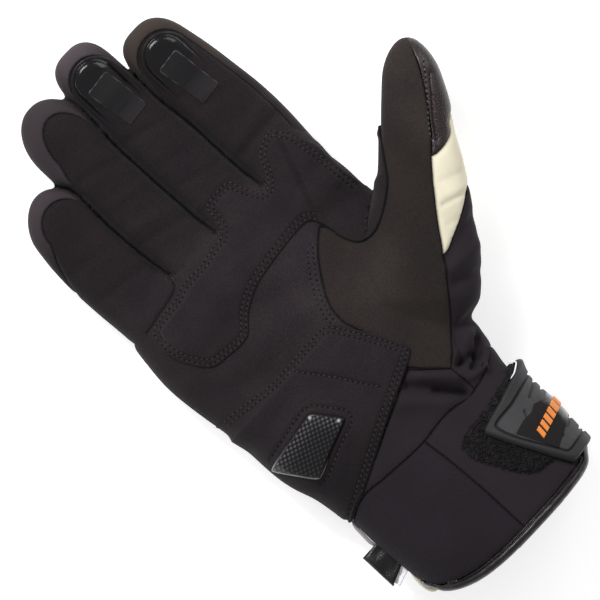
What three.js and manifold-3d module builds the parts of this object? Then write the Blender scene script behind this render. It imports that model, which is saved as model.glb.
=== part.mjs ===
// Winter motorcycle glove for the right hand, lying on its back with the palm up.
// Millimetres. +Z rises out of the palm, +Y runs from the cuff to the fingertips and +X points to the thumb.
// The origin lies on the surface that the glove rests on, under the middle of the palm.
import * as THREE from 'three';
import { mergeVertices } from 'three/addons/utils/BufferGeometryUtils.js';
import Module from 'manifold-3d';

const wasm = await Module();
wasm.setup();

// Driving sizes
const WALL = 2.5; // outer fabric, membrane and lining together
const SEAM_GAP = 0.3; // clearance between two sewn pieces
const FINGER_GAP = 0.4; // clearance between two fingers that touch
const PALM_SEAM_Z = 18; // height of the side seam round the hand
const THUMB_SEAM_Z = 26; // height of the side seam round the thumb
const CURVE_STEP = 7; // length of one straight piece of a smooth outline
const CORNER_STEPS = 3;
const TALL = 80; // higher than any piece, for cutting straight down
const BINDING_HEIGHT = 4.4; // leather edging round the mouth
const BINDING_PROUD = 0.9; // how far the edging stands out of the cuff, inside and outside
const STRAP_SIDE_Z = 13; // where the moulded strap end meets the sewn strap
// How finely the rounded forms are cut into flat faces, outside and inside.
const OUTER = { digitSides: 14, digitSteps: 5, tipSteps: [0.42, 0.72, 0.91], bodySides: 24, bodyStep: 13 };
const INNER = { digitSides: 8, digitSteps: 3, tipSteps: [0.7], bodySides: 14, bodyStep: 26 };
const SECTION_POWER = 2.3; // 2 is an ellipse, more is squarer
const BODY_POWER = 2.5;

// Each finger is a tube along its own +Y, turned about Z. x is the middle of a row, z its height.
const DIGITS = {
  index: {
    turn: 0, tip: 134, tipLength: 16, blunt: 2.7, trimmedBy: ['middle'],
    rows: [
      { y: 30, x: 46.0, width: 30.0, z: 19.0, thick: 30.0 },
      { y: 50, x: 46.6, width: 29.8, z: 16.0, thick: 28.0 },
      { y: 65, x: 46.7, width: 32.2, z: 13.6, thick: 26.5 },
      { y: 80, x: 46.6, width: 32.8, z: 12.2, thick: 25.5 },
      { y: 95, x: 46.0, width: 31.6, z: 12.6, thick: 24.8 },
      { y: 108, x: 45.2, width: 30.4, z: 15.0, thick: 24.2 },
      { y: 120, x: 44.3, width: 28.2, z: 18.6, thick: 23.0 },
    ],
  },
  middle: {
    turn: 0, tip: 147.8, tipLength: 15, blunt: 2.7, trimmedBy: [],
    rows: [
      { y: 30, x: 17.5, width: 27.0, z: 19.0, thick: 30.0 },
      { y: 50, x: 18.0, width: 27.6, z: 16.4, thick: 28.5 },
      { y: 65, x: 17.8, width: 27.6, z: 14.2, thick: 27.2 },
      { y: 82, x: 17.5, width: 27.8, z: 12.6, thick: 26.2 },
      { y: 100, x: 17.3, width: 27.4, z: 13.0, thick: 25.2 },
      { y: 116, x: 17.2, width: 26.3, z: 15.6, thick: 24.6 },
      { y: 132, x: 17.2, width: 25.4, z: 19.6, thick: 23.6 },
    ],
  },
  ring: {
    turn: 0, tip: 143.2, tipLength: 21, blunt: 2.0, trimmedBy: ['middle', 'little'],
    rows: [
      { y: 30, x: -8.5, width: 27.0, z: 18.5, thick: 29.0 },
      { y: 50, x: -8.3, width: 27.4, z: 15.6, thick: 27.5 },
      { y: 65, x: -8.4, width: 27.6, z: 13.4, thick: 26.0 },
      { y: 80, x: -8.8, width: 27.6, z: 12.1, thick: 25.0 },
      { y: 95, x: -8.9, width: 27.8, z: 12.2, thick: 24.5 },
      { y: 110, x: -9.8, width: 29.8, z: 14.2, thick: 24.0 },
      { y: 122, x: -9.6, width: 30.4, z: 17.0, thick: 23.6 },
    ],
  },
  little: {
    turn: 0, tip: 116.8, tipLength: 15, blunt: 1.85, trimmedBy: [],
    rows: [
      { y: 30, x: -36.4, width: 30.0, z: 16.5, thick: 27.0 },
      { y: 50, x: -35.8, width: 30.4, z: 13.8, thick: 25.0 },
      { y: 65, x: -36.3, width: 31.0, z: 11.8, thick: 23.5 },
      { y: 80, x: -36.5, width: 31.0, z: 10.9, thick: 22.6 },
      { y: 92, x: -36.1, width: 30.2, z: 11.4, thick: 22.0 },
      { y: 102, x: -35.2, width: 28.8, z: 13.4, thick: 21.4 },
    ],
  },
  thumb: {
    turn: -45, tip: 118.4, tipLength: 17, blunt: 2.0, trimmedBy: [],
    rows: [
      { y: -4, x: 48.5, width: 48.0, z: 20.5, thick: 39.0 },
      { y: 10, x: 49.5, width: 49.6, z: 21.5, thick: 41.0 },
      { y: 25, x: 50.6, width: 49.4, z: 23.5, thick: 40.0 },
      { y: 40, x: 51.7, width: 43.6, z: 26.0, thick: 35.0 },
      { y: 55, x: 52.4, width: 38.0, z: 28.0, thick: 30.5 },
      { y: 69, x: 52.0, width: 33.6, z: 29.0, thick: 27.2 },
      { y: 80, x: 50.9, width: 30.2, z: 29.5, thick: 25.2 },
      { y: 91, x: 50.5, width: 28.4, z: 30.0, thick: 24.0 },
      { y: 101, x: 49.5, width: 25.2, z: 30.4, thick: 22.4 },
    ],
  },
};

// The palm, wrist and cuff in one run. left and right are the outline seen from above.
const BODY_ROWS = [
  { y: 60, left: -41.0, right: 53.0, top: 20.0, bottom: 2.0 },
  { y: 55, left: -46.5, right: 58.0, top: 27.5, bottom: -1.0 },
  { y: 46, left: -51.3, right: 60.4, top: 32.5, bottom: -2.5 },
  { y: 36, left: -53.4, right: 61.0, top: 35.5, bottom: -3.0 },
  { y: 24, left: -54.8, right: 61.8, top: 37.0, bottom: -3.0 },
  { y: 10, left: -54.2, right: 61.0, top: 38.0, bottom: -3.0 },
  { y: -5, left: -52.2, right: 58.0, top: 39.5, bottom: -3.0 },
  { y: -20, left: -49.9, right: 55.0, top: 41.5, bottom: -3.0 },
  { y: -35, left: -48.6, right: 53.0, top: 42.5, bottom: -3.0 },
  { y: -50, left: -45.8, right: 51.6, top: 43.0, bottom: -2.0 },
  { y: -60, left: -43.7, right: 49.6, top: 43.5, bottom: 0.5 },
  { y: -70, left: -42.9, right: 47.2, top: 45.0, bottom: 2.8 },
  { y: -82, left: -43.0, right: 47.0, top: 49.0, bottom: 2.8 },
  { y: -96, left: -42.1, right: 46.9, top: 52.5, bottom: 2.8 },
  { y: -110, left: -41.4, right: 46.0, top: 54.5, bottom: 2.8 },
  { y: -130, left: -40.6, right: 44.2, top: 56.0, bottom: 2.8 },
];

// Lines and outlines seen from above, in x and y. A third number in a corner is its radius.
const PALM_PATCH = [
  [-47, 38], [-45, 44], [-38, 46.3], [-28, 47.3], [-20, 49.3], [-9, 49.7], [2, 51], [7, 51], [9.6, 56],
  [11, 63], [18, 64.2], [25.5, 63], [28, 56.5], [32, 50.5], [36.3, 54], [40, 61], [46, 65], [53, 64.5],
  [56.3, 56], [58, 44], [59.6, 30], [62, 21.5], [68, 23], [76, 31], [83, 38.5], [87, 37], [80, 28.8],
  [74.5, 21.5], [69, 14.8], [60, 9], [50, 4.5], [42.5, 6.5], [39, 13], [37.7, 21], [35.5, 27], [28, 28],
  [12, 26.7], [0, 24.8], [-9, 20], [-17, 13.5], [-27, 13.6], [-36, 15.5], [-42, 24], [-45.6, 32],
];
const HEEL_PATCH = [
  [-62, -5.4, 1], [8, -5.4, 5], [13.5, -12, 8], [26.5, -37.6, 4], [2, -50, 30], [-43, -70.5, 3], [-62, -79, 1],
];
const SLIDER = [
  [-50.4, -29.6, 3], [-21.2, -26.6, 2.5], [-13.8, -38.8, 2], [-39.6, -48.6, 2.5],
];
const LIFE_LINE = [[36.5, 23], [30.5, 18.4], [25, 12.6], [20, 6], [16.8, 0.5], [15, -5], [14.6, -11], [17, -20], [18.8, -42.4]];
const THUMB_SEAM = [
  [117.6, 50], [112, 38], [105, 27.6], [96, 16.4], [88.5, 9.2], [80, 0], [70, -12], [62.5, -22], [50, -37], [40, -47.6],
  [31, -55.6],
];
const CUFF_SEAM = [
  [-62, -72], [-44, -69.4], [-34, -65.2], [-20, -66.4], [0, -67.9], [14, -66.9], [29, -68.6], [41, -66.6], [49, -62], [62, -58],
];
const LEATHER_EDGE = [[124, 22], [104.4, 13.6], [101, 9.7], [95, 8.2], [88.5, 9.2], [70, 24], [60, 40]];
const CREAM_EDGE = [[112, 0], [91.7, -9.2], [82, -15], [72, -19.4], [62.5, -22], [48, -12], [40, 12]];
const RIM = [
  [-62, -104], [-42, -110], [-38.4, -116], [-32, -120.4], [-22, -123.6], [-8, -125.3], [12, -125.7], [30, -125.1],
  [41, -123.4], [46, -119], [62, -110],
];
const STRETCH_EDGE = [[0.4, -64], [2.6, -80], [3.6, -100], [3.7, -132]];
// Corners that close the cutting outline of each panel. They lie outside the glove or over a panel cut before it.
const CLOSING = {
  mouth: [[150, -100], [150, 170], [-90, 170], [-90, -100]],
  cuff: [[62, -140], [-62, -140]],
  stretch: [[-62, -132], [-62, -64]],
  palmWrist: [[-62, -75], [18.2, -42.8]],
  palmFingers: [[46, 13], [60.4, 18], [59.6, 50], [-46, 50], [-62, 62]],
  thumbWeb: [[119, 62], [80, 50], [62, 24], [58, 19], [46, 13.6]],
  gussetHeel: [[-62, -76], [18.4, -43.2]],
  gussetCuff: [[31, -74], [-62, -84]],
  leather: [[62, 70], [140, 70]],
  cream: [[60, 34], [118, 34]],
  thumbSide: [[31, -76], [70, -76], [110, -8], [70, -8]],
};
const THUMB_SIDE_START = 0.55; // share of the thumb seam where the side panel starts
const THUMB_SIDE_Z = 10; // height where the thumb's side panel meets the back
const SEWN_STRAP = [[8, -74.4, 2], [66, -74.4, 1], [66, -112.4, 1], [8, -112.4, 2]];
const STRAP_TAB = [[20, -83.6, 2], [48, -76.2, 8], [54, -71.6, 3], [66, -70.6, 1], [66, -116.4, 1], [36.2, -118.4, 3]];
const STRAP_RECESS = [[24.6, -86, 1], [54, -79.2, 1], [66, -78.6, 1], [66, -113.2, 1], [38.4, -114.6, 1.5]];
const LOOP_PATCH = [[9.6, -79.6, 2], [44, -74.8, 2], [49, -74, 1], [49, -112, 1], [22, -110.6, 3], [13, -95, 12]];
const STRAP_MARK = { left: 35.5, right: 51.5, leftY: -102.6, rightY: -98, height: 4.2, slant: -0.9, bars: 5, groove: 0.7 };
// Raised fingertip covers and the flat pads let into them.
const TIP_COVERS = {
  middle: { left: 6.6, right: 28.6, top: 141.2, bottom: 119.4 },
  index: { left: 33.4, right: 55.8, top: 127.2, bottom: 104.4 },
};
const TIP_PADS = {
  middle: { left: 11.3, right: 24.3, top: 129.8, bottom: 107.4 },
  index: { left: 38.6, right: 51.0, top: 115.8, bottom: 92.2 },
};
const PAD_CORNER = 2;
// Front panel of each finger: how far its edge lies inside the finger's outline at the tip. Low down it is SIDE_SEAM.
const SIDE_SEAM = 1.4;
const FINGER_WINDOWS = {
  index: { left: 1.6, right: 2.4, tip: 6.2 },
  middle: { left: 1.4, right: 1.4, tip: 6.4 },
  ring: { left: 6.0, right: 1.4, tip: 8.8 },
  little: { left: 4.6, right: 1.2, tip: 6.8 },
};
// Pieces that lie on the shell: how far above it their two faces are.
const LAYERS = {
  palmPatch: { low: 0.3, high: 1.9 },
  heelPatch: { low: 0.3, high: 2.1 },
  tipCover: { low: 0.3, high: 1.4 },
  tipPad: { low: 0.3, high: 1.8 },
  loopPatch: { low: 0.3, high: 1.2 },
  strapTab: { low: 1.5, high: 4.5 },
  strapRecess: { low: 3.5, high: 9 },
  strapMark: { low: 3.8, high: 4.9 },
  sewnStrap: { low: 0.3, high: 2.8 },
};
const SLIDER_STEPS = [{ inset: 0, high: 3.4 }, { inset: 1.4, high: 4.6 }];
const TAG = { left: -50.6, right: -40, top: -82.6, bottom: -99.6, z: 27, fold: 3.2, cloth: 0.9, corner: 0.5 };
const TAG_LABEL = { left: -48.6, right: -44.2, top: -90, bottom: -101.4, thick: 0.6 };

// Finishes
const FINISHES = {
  suede: { color: 0x1b191a, roughness: 0.95, metalness: 0 },
  softshell: { color: 0x242126, roughness: 0.85, metalness: 0 },
  thumb_suede: { color: 0x2a2722, roughness: 0.95, metalness: 0 },
  leather: { color: 0x1d1718, roughness: 0.45, metalness: 0 },
  cream_fabric: { color: 0xe3dcc0, roughness: 0.85, metalness: 0 },
  stretch_twill: { color: 0x232027, roughness: 0.8, metalness: 0 },
  gloss_film: { color: 0x0d0c0e, roughness: 0.15, metalness: 0 },
  pad_rubber: { color: 0x18181a, roughness: 0.5, metalness: 0 },
  slider_plastic: { color: 0x2a292b, roughness: 0.3, metalness: 0 },
  moulded_rubber: { color: 0x2e2d2f, roughness: 0.6, metalness: 0 },
  orange_rubber: { color: 0xf07818, roughness: 0.5, metalness: 0 },
  loop_pile: { color: 0x141214, roughness: 1, metalness: 0 },
  white_label: { color: 0xd9dde2, roughness: 0.7, metalness: 0 },
};

// A closed three.js geometry as a solid that can be joined and cut.
function solid(geometry) {
  const plain = new THREE.BufferGeometry();
  plain.setAttribute('position', geometry.getAttribute('position'));
  if (geometry.index) plain.setIndex(geometry.index);
  const merged = mergeVertices(plain, 1e-4);
  return new wasm.Manifold(new wasm.Mesh({
    numProp: 3,
    vertProperties: new Float32Array(merged.attributes.position.array),
    triVerts: new Uint32Array(merged.index.array),
  }));
}

// A skin through rings of equal count, closed by a point at each end.
function loft(rings, firstPole, lastPole) {
  const sides = rings[0].length;
  const points = [firstPole, ...rings.flat(), lastPole];
  const last = points.length - 1;
  const faces = [];
  for (let side = 0; side < sides; side++) {
    const next = (side + 1) % sides;
    faces.push(0, 1 + side, 1 + next);
    for (let ring = 0; ring + 1 < rings.length; ring++) {
      const near = 1 + ring * sides;
      const far = near + sides;
      faces.push(near + side, far + side, far + next, near + side, far + next, near + next);
    }
    faces.push(last, last - sides + next, last - sides + side);
  }
  return new THREE.BufferGeometry().setFromPoints(points).setIndex(faces);
}

// One named column of a table, read at any y by a smooth curve through its rows, and straight on past the last.
function column(rows, name, y) {
  const up = rows[0].y < rows[rows.length - 1].y ? 1 : -1;
  let i = 0;
  while (i < rows.length - 2 && up * y > up * rows[i + 1].y) i++;
  const slope = (k) => {
    const a = rows[Math.max(k - 1, 0)];
    const b = rows[Math.min(k + 1, rows.length - 1)];
    return (b[name] - a[name]) / (b.y - a.y);
  };
  const span = rows[i + 1].y - rows[i].y;
  const t = Math.min((y - rows[i].y) / span, 1);
  const rise = t * t * (3 - 2 * t);
  return rows[i][name] * (1 - rise) + rows[i + 1][name] * rise
    + span * (slope(i) * t * (1 - t) * (1 - t) - slope(i + 1) * t * t * (1 - t))
    + slope(i + 1) * Math.max(up * (y - rows[i + 1].y), 0) * up;
}

// A rounded section in the plane of one y. The glove's weight flattens it where it meets the surface.
function section({ x, y, z, halfWidth, halfHeight }, sides, power, floor) {
  return Array.from({ length: sides }, (_, side) => {
    const angle = (2 * Math.PI * side) / sides;
    const round = (value) => Math.sign(value) * Math.abs(value) ** (2 / power);
    const height = z + halfHeight * round(Math.sin(angle));
    return new THREE.Vector3(x + halfWidth * round(Math.cos(angle)), y, Math.max(height, floor));
  });
}

// One finger as a closed solid, grown outwards by grow, or shrunk where grow is negative.
function digit(name, grow) {
  const { rows, tip, tipLength, blunt, turn } = DIGITS[name];
  const { digitSides, digitSteps, tipSteps } = grow < 0 ? INNER : OUTER;
  const start = rows[0].y;
  const roundStart = tip - tipLength;
  const ringAt = (y, at, share) => section({
    x: column(rows, 'x', at),
    y,
    z: column(rows, 'z', at),
    halfWidth: (column(rows, 'width', at) / 2 + grow) * share,
    halfHeight: (column(rows, 'thick', at) / 2 + grow) * share,
  }, digitSides, SECTION_POWER, -grow);
  const rings = [];
  for (let step = 0; step <= digitSteps; step++) {
    const y = start + ((roundStart - start) * step) / digitSteps;
    rings.push(ringAt(y, y, 1));
  }
  for (const share of tipSteps) {
    const y = roundStart + (tipLength + grow) * share;
    rings.push(ringAt(y, roundStart + tipLength * share, (1 - share ** blunt) ** (1 / blunt)));
  }
  const pole = (y) => new THREE.Vector3(column(rows, 'x', y), y, column(rows, 'z', y));
  const end = pole(tip);
  end.y += grow;
  return solid(loft(rings, pole(start), end).rotateZ(THREE.MathUtils.degToRad(turn)));
}

// The palm, wrist and cuff as a closed solid, grown by grow.
function body(grow) {
  const rows = BODY_ROWS;
  const { bodySides, bodyStep } = grow < 0 ? INNER : OUTER;
  const first = rows[0].y;
  const last = rows[rows.length - 1].y;
  const steps = Math.round((first - last) / bodyStep);
  const ys = [first, rows[1].y];
  for (let step = 1; step <= steps; step++) ys.push(rows[1].y + ((last - rows[1].y) * step) / steps);
  const rings = ys.map((y, i) => {
    const [left, right, top, bottom] = ['left', 'right', 'top', 'bottom'].map((name) => column(rows, name, y));
    return section({
      x: (left + right) / 2,
      y: i === 0 ? y + grow : y,
      z: (top + bottom) / 2,
      halfWidth: (right - left) / 2 + grow,
      halfHeight: (top - bottom) / 2 + grow,
    }, bodySides, BODY_POWER, -grow);
  });
  const middle = (ring) => ring.reduce((sum, p) => sum.add(p), new THREE.Vector3()).divideScalar(ring.length);
  return solid(loft(rings.reverse(), middle(rings[0]), middle(rings[rings.length - 1])));
}

const join = (solids) => solids.reduce((all, one) => all.add(one));

// The whole hand form. Fingers that touch are trimmed so that each keeps its own wall.
function handForm(grow, trimmed) {
  const digits = Object.entries(DIGITS).map(([name, { trimmedBy }]) => {
    const whole = digit(name, grow);
    return trimmed ? trimmedBy.reduce((rest, other) => rest.subtract(digit(other, FINGER_GAP - grow)), whole) : whole;
  });
  return join([body(grow), ...digits]);
}

const bands = new Map();
// The space between two distances above the hand form, as a solid.
function band({ low, high }) {
  for (const grow of [low, high]) if (!bands.has(grow)) bands.set(grow, handForm(grow, false));
  return bands.get(high).subtract(bands.get(low));
}

// Points along a smooth curve through the given ones.
function smooth(points, closed) {
  const curve = new THREE.CatmullRomCurve3(points.map(([x, y]) => new THREE.Vector3(x, y, 0)), closed, 'centripetal');
  const count = Math.round(curve.getLength() / CURVE_STEP);
  return curve.getSpacedPoints(count).slice(0, closed ? -1 : undefined).map(({ x, y }) => new THREE.Vector2(x, y));
}

// A polygon whose corners are rounded by the radius each one gives.
function rounded(corners) {
  const path = new THREE.Path();
  const points = corners.map(([x, y]) => new THREE.Vector2(x, y));
  points.forEach((corner, i) => {
    const radius = corners[i][2];
    const [before, after] = [points.at(i - 1), points[(i + 1) % points.length]].map((other) => {
      const way = other.clone().sub(corner);
      return corner.clone().add(way.setLength(Math.min(radius, way.length() * 0.45)));
    });
    if (i === 0) path.moveTo(before.x, before.y);
    else path.lineTo(before.x, before.y);
    path.quadraticCurveTo(corner.x, corner.y, after.x, after.y);
  });
  path.closePath();
  return path.getPoints(CORNER_STEPS).slice(0, -1);
}

// The same outline moved outwards by distance, or inwards where it is negative.
function offset(outline, distance) {
  const points = THREE.ShapeUtils.isClockWise(outline) ? [...outline].reverse() : outline;
  return points.map((point, i) => {
    const before = point.clone().sub(points.at(i - 1)).normalize();
    const after = points[(i + 1) % points.length].clone().sub(point).normalize();
    const out = before.add(after).normalize();
    return new THREE.Vector2(point.x + out.y * distance, point.y - out.x * distance);
  });
}

// The space straight above and below an outline, between two heights.
function prism(outline, low, high) {
  const geometry = new THREE.ExtrudeGeometry(new THREE.Shape(outline), { depth: high - low, bevelEnabled: false });
  return solid(geometry.translate(0, 0, low));
}

// Front window of a finger: its outline moved inwards at the sides and the tip, and run down into the palm.
function fingerWindow(name, grow) {
  const { rows, tip, tipLength } = DIGITS[name];
  const inset = FINGER_WINDOWS[name];
  const top = tip - inset.tip;
  const bend = top - tipLength * 0.8;
  const edge = (side, y) => {
    const widening = (inset[side < 0 ? 'left' : 'right'] - SIDE_SEAM) * THREE.MathUtils.smoothstep(y, 60, bend);
    return column(rows, 'x', y) + side * (column(rows, 'width', y) / 2 - SIDE_SEAM - widening);
  };
  const run = [46, 64, 82, 100, bend].filter((y) => y <= bend);
  const middle = (edge(-1, bend) + edge(1, bend)) / 2;
  const half = (edge(1, bend) - edge(-1, bend)) / 2;
  const arc = [45, 90, 135].map((degrees) => {
    const angle = THREE.MathUtils.degToRad(degrees);
    return [middle + half * Math.cos(angle), bend + (top - bend) * Math.sin(angle)];
  });
  const points = [...run.map((y) => [edge(1, y), y]), ...arc, ...run.reverse().map((y) => [edge(-1, y), y])];
  return offset(points.map(([x, y]) => new THREE.Vector2(x, y)), grow);
}

// The largest body of a cut solid, without the slivers that a cut can leave.
function largest(cut) {
  return cut.decompose().reduce((best, one) => (one.volume() > best.volume() ? one : best));
}

const glove = new THREE.Group();

function addPiece(name, finish, piece) {
  const { vertProperties, triVerts } = largest(piece).getMesh();
  const geometry = new THREE.BufferGeometry();
  geometry.setAttribute('position', new THREE.BufferAttribute(vertProperties, 3));
  geometry.setIndex(new THREE.BufferAttribute(triVerts, 1));
  geometry.computeVertexNormals();
  const mesh = new THREE.Mesh(geometry, new THREE.MeshStandardMaterial(FINISHES[finish]));
  mesh.name = name;
  glove.add(mesh);
}

const flat = (points) => points.map(([x, y]) => new THREE.Vector2(x, y));

// Cuts a panel out of the rest of the shell. space(grow) is the space it is cut by, and the rest keeps a gap to it.
function cutPanel(rest, name, finish, space) {
  addPiece(name, finish, rest.intersect(space(0)));
  return rest.subtract(space(SEAM_GAP));
}

// Shell of the whole glove, open at the cuff
const rim = smooth(RIM, false);
const aboveRim = (lift) => {
  const raised = rim.map(({ x, y }) => new THREE.Vector2(x, y + lift));
  return prism([...raised, ...flat(CLOSING.mouth)], -TALL, TALL);
};
const shell = handForm(0, true).subtract(handForm(-WALL, true));

// The space above a height and inside an outline, which grows by the given distance.
const cutter = (outline, low) => (grow) => prism(offset(outline, grow), low - grow, TALL);

// Cuff, with its stretch panel at the heel side and its leather edging
const belowCuffSeam = cutter([...smooth(CUFF_SEAM, false), ...flat(CLOSING.cuff)], -TALL);
const cuff = shell.intersect(belowCuffSeam(0)).intersect(aboveRim(BINDING_HEIGHT + SEAM_GAP));
const stretchSide = cutter([...smooth(STRETCH_EDGE, false), ...flat(CLOSING.stretch)], PALM_SEAM_Z);
addPiece('cuff_panel', 'softshell', cutPanel(cuff, 'cuff_stretch_panel', 'stretch_twill', stretchSide));
const thickBand = body(BINDING_PROUD).subtract(body(-WALL - BINDING_PROUD));
addPiece('cuff_binding', 'leather', thickBand.intersect(aboveRim(0)).subtract(aboveRim(BINDING_HEIGHT)));

// Hand: palm, thumb and wrist panels, each cut from what the ones before it leave. The last rest is the back.
const lifeLine = smooth(LIFE_LINE, false);
const thumbSeam = smooth(THUMB_SEAM, false);
const fold = thumbSeam.at(-1);
const palmOutline = [...flat(CLOSING.palmWrist), ...[...lifeLine].reverse(), ...flat(CLOSING.palmFingers)];
const fingerPanels = (grow) => join(Object.keys(FINGER_WINDOWS).map((name) => (
  prism(fingerWindow(name, grow), PALM_SEAM_Z - grow, TALL)
)));
const palmCutter = cutter(palmOutline, PALM_SEAM_Z);
const webbing = [...lifeLine, fold, ...[...thumbSeam].reverse().slice(1), ...flat(CLOSING.thumbWeb)];
const gussetOutline = [...flat(CLOSING.gussetHeel), fold, ...flat(CLOSING.gussetCuff)];
const sideStart = Math.round(thumbSeam.length * THUMB_SIDE_START);
const panels = [
  ['palm_panel', 'suede', (grow) => palmCutter(grow).add(fingerPanels(grow))],
  ['thumb_panel', 'thumb_suede', cutter(webbing, THUMB_SEAM_Z)],
  ['wrist_gusset', 'softshell', cutter(gussetOutline, PALM_SEAM_Z)],
  ['thumb_leather', 'leather', cutter([...smooth(LEATHER_EDGE, false), ...flat(CLOSING.leather)], -TALL)],
  ['thumb_cream_panel', 'cream_fabric', cutter([...smooth(CREAM_EDGE, false), ...flat(CLOSING.cream)], -TALL)],
  ['thumb_side_panel', 'softshell', cutter([...thumbSeam.slice(sideStart), ...flat(CLOSING.thumbSide)], THUMB_SIDE_Z)],
];
const back = panels.reduce((rest, panel) => cutPanel(rest, ...panel), shell.subtract(belowCuffSeam(SEAM_GAP)));
addPiece('hand_back', 'softshell', back);

// Reinforcements sewn onto the palm
const above = (layer, outline, low) => band(layer).intersect(prism(outline, low, TALL));
addPiece('palm_patch', 'suede', above(LAYERS.palmPatch, smooth(PALM_PATCH, true), PALM_SEAM_Z));
// The slider's corner outline moved inwards, then rounded.
const sliderOutline = (inset) => {
  const moved = offset(flat(SLIDER), -inset);
  const order = THREE.ShapeUtils.isClockWise(flat(SLIDER)) ? [...SLIDER].reverse() : SLIDER;
  return rounded(moved.map(({ x, y }, i) => [x, y, Math.max(order[i][2] - inset * 0.5, 0.6)]));
};
addPiece('heel_patch', 'suede', above(LAYERS.heelPatch, rounded(HEEL_PATCH), PALM_SEAM_Z)
  .subtract(belowCuffSeam(SEAM_GAP)).subtract(prism(sliderOutline(-SEAM_GAP), 0, TALL)));
addPiece('palm_slider', 'slider_plastic', join(SLIDER_STEPS.map(({ inset, high }) => (
  above({ low: LAYERS.heelPatch.low, high }, sliderOutline(inset), PALM_SEAM_Z)
))));

// Glossy covers on two fingertips, each with a pad let into it
for (const [name, pad] of Object.entries(TIP_PADS)) {
  const cover = TIP_COVERS[name];
  const round = (cover.right - cover.left) * 0.48;
  const coverOutline = rounded([
    [cover.left, cover.top, round], [cover.right, cover.top, round], [cover.right, cover.bottom, 3], [cover.left, cover.bottom, 3],
  ]);
  const padOutline = rounded([
    [pad.left, pad.top, PAD_CORNER], [pad.right, pad.top, PAD_CORNER], [pad.right, pad.bottom, PAD_CORNER],
    [pad.left, pad.bottom, PAD_CORNER],
  ]);
  addPiece(`${name}_tip_cover`, 'gloss_film', above(LAYERS.tipCover, coverOutline, PALM_SEAM_Z)
    .subtract(prism(offset(padOutline, SEAM_GAP), 0, TALL)));
  addPiece(`${name}_tip_pad`, 'pad_rubber', above(LAYERS.tipPad, padOutline, PALM_SEAM_Z));
}

// Wrist closure: pile on the cuff, a moulded strap end over it and the sewn strap that runs round the back
addPiece('loop_patch', 'loop_pile', above(LAYERS.loopPatch, rounded(LOOP_PATCH), PALM_SEAM_Z));
const tabOutline = rounded(STRAP_TAB);
addPiece('strap_tab', 'moulded_rubber', above(LAYERS.strapTab, tabOutline, STRAP_SIDE_Z)
  .subtract(above(LAYERS.strapRecess, rounded(STRAP_RECESS), STRAP_SIDE_Z + 2)));
const mark = STRAP_MARK;
const markOutline = flat([
  [mark.left, mark.leftY], [mark.right, mark.rightY], [mark.right + mark.slant, mark.rightY + mark.height],
  [mark.left + mark.slant, mark.leftY + mark.height],
]);
const markGrooves = Array.from({ length: mark.bars - 1 }, (_, i) => {
  const share = (i + 1) / mark.bars;
  const x = mark.left + (mark.right - mark.left) * share;
  const y = mark.leftY + (mark.rightY - mark.leftY) * share;
  return prism(flat([
    [x, y - 2], [x + mark.groove, y - 2], [x + mark.groove + mark.slant, y + mark.height + 2], [x + mark.slant, y + mark.height + 2],
  ]), 0, TALL);
});
const markTop = band({ low: LAYERS.strapMark.low + 0.5, high: LAYERS.strapRecess.high });
addPiece('strap_mark', 'orange_rubber', above(LAYERS.strapMark, markOutline, STRAP_SIDE_Z + 6)
  .subtract(join(markGrooves).intersect(markTop)));
const underStrapEnd = prism(rounded(SEWN_STRAP), -TALL, STRAP_SIDE_Z - SEAM_GAP);
addPiece('sewn_strap', 'softshell', band(LAYERS.sewnStrap).intersect(underStrapEnd));

// Folded tag at the heel side of the cuff, with a plain label in its fold
const tagHalf = TAG.fold / 2;
const tagBox = (layer, inset) => {
  const outline = rounded([
    [TAG.left + inset, TAG.top + inset, TAG.corner], [TAG.right + 4 * inset, TAG.top + inset, TAG.corner],
    [TAG.right + 4 * inset, TAG.bottom - inset, TAG.corner], [TAG.left + inset, TAG.bottom - inset, TAG.corner],
  ]);
  return prism(outline, TAG.z - layer, TAG.z + layer);
};
addPiece('side_tag', 'leather', tagBox(tagHalf, 0).subtract(tagBox(tagHalf - TAG.cloth, TAG.cloth)).subtract(body(SEAM_GAP)));
addPiece('tag_label', 'white_label', prism(rounded([
  [TAG_LABEL.left, TAG_LABEL.top, 0.4], [TAG_LABEL.right, TAG_LABEL.top, 0.4], [TAG_LABEL.right, TAG_LABEL.bottom, 0.4],
  [TAG_LABEL.left, TAG_LABEL.bottom, 0.4],
]), TAG.z - TAG_LABEL.thick / 2, TAG.z + TAG_LABEL.thick / 2));

export default glove;
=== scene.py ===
"""Looks of a padded winter motorcycle glove for the right hand, lying on its back with the palm up."""
import math
import random
from collections import namedtuple

import bmesh
import bpy
import numpy as np
from mathutils import Matrix, Vector, kdtree
from mathutils.bvhtree import BVHTree


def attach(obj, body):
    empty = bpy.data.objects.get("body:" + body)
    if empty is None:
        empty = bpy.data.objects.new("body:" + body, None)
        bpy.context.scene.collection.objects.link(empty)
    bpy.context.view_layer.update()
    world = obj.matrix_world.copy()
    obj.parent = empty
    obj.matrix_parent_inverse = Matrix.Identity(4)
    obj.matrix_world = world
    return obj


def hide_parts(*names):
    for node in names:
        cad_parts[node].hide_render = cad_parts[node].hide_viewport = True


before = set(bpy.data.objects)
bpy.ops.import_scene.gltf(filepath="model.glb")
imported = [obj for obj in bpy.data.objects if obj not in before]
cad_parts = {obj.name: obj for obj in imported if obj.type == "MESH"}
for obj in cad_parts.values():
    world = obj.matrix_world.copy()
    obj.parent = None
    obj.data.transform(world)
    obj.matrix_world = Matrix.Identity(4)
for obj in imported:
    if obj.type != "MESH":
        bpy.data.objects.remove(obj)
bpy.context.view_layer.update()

# Shapes are worked out in millimetres and turned into metres when a piece is finished.
METRES = 0.001
VOXEL = 1.0  # size of the mesh that the soft form is cut from
SIDES = 48
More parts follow.
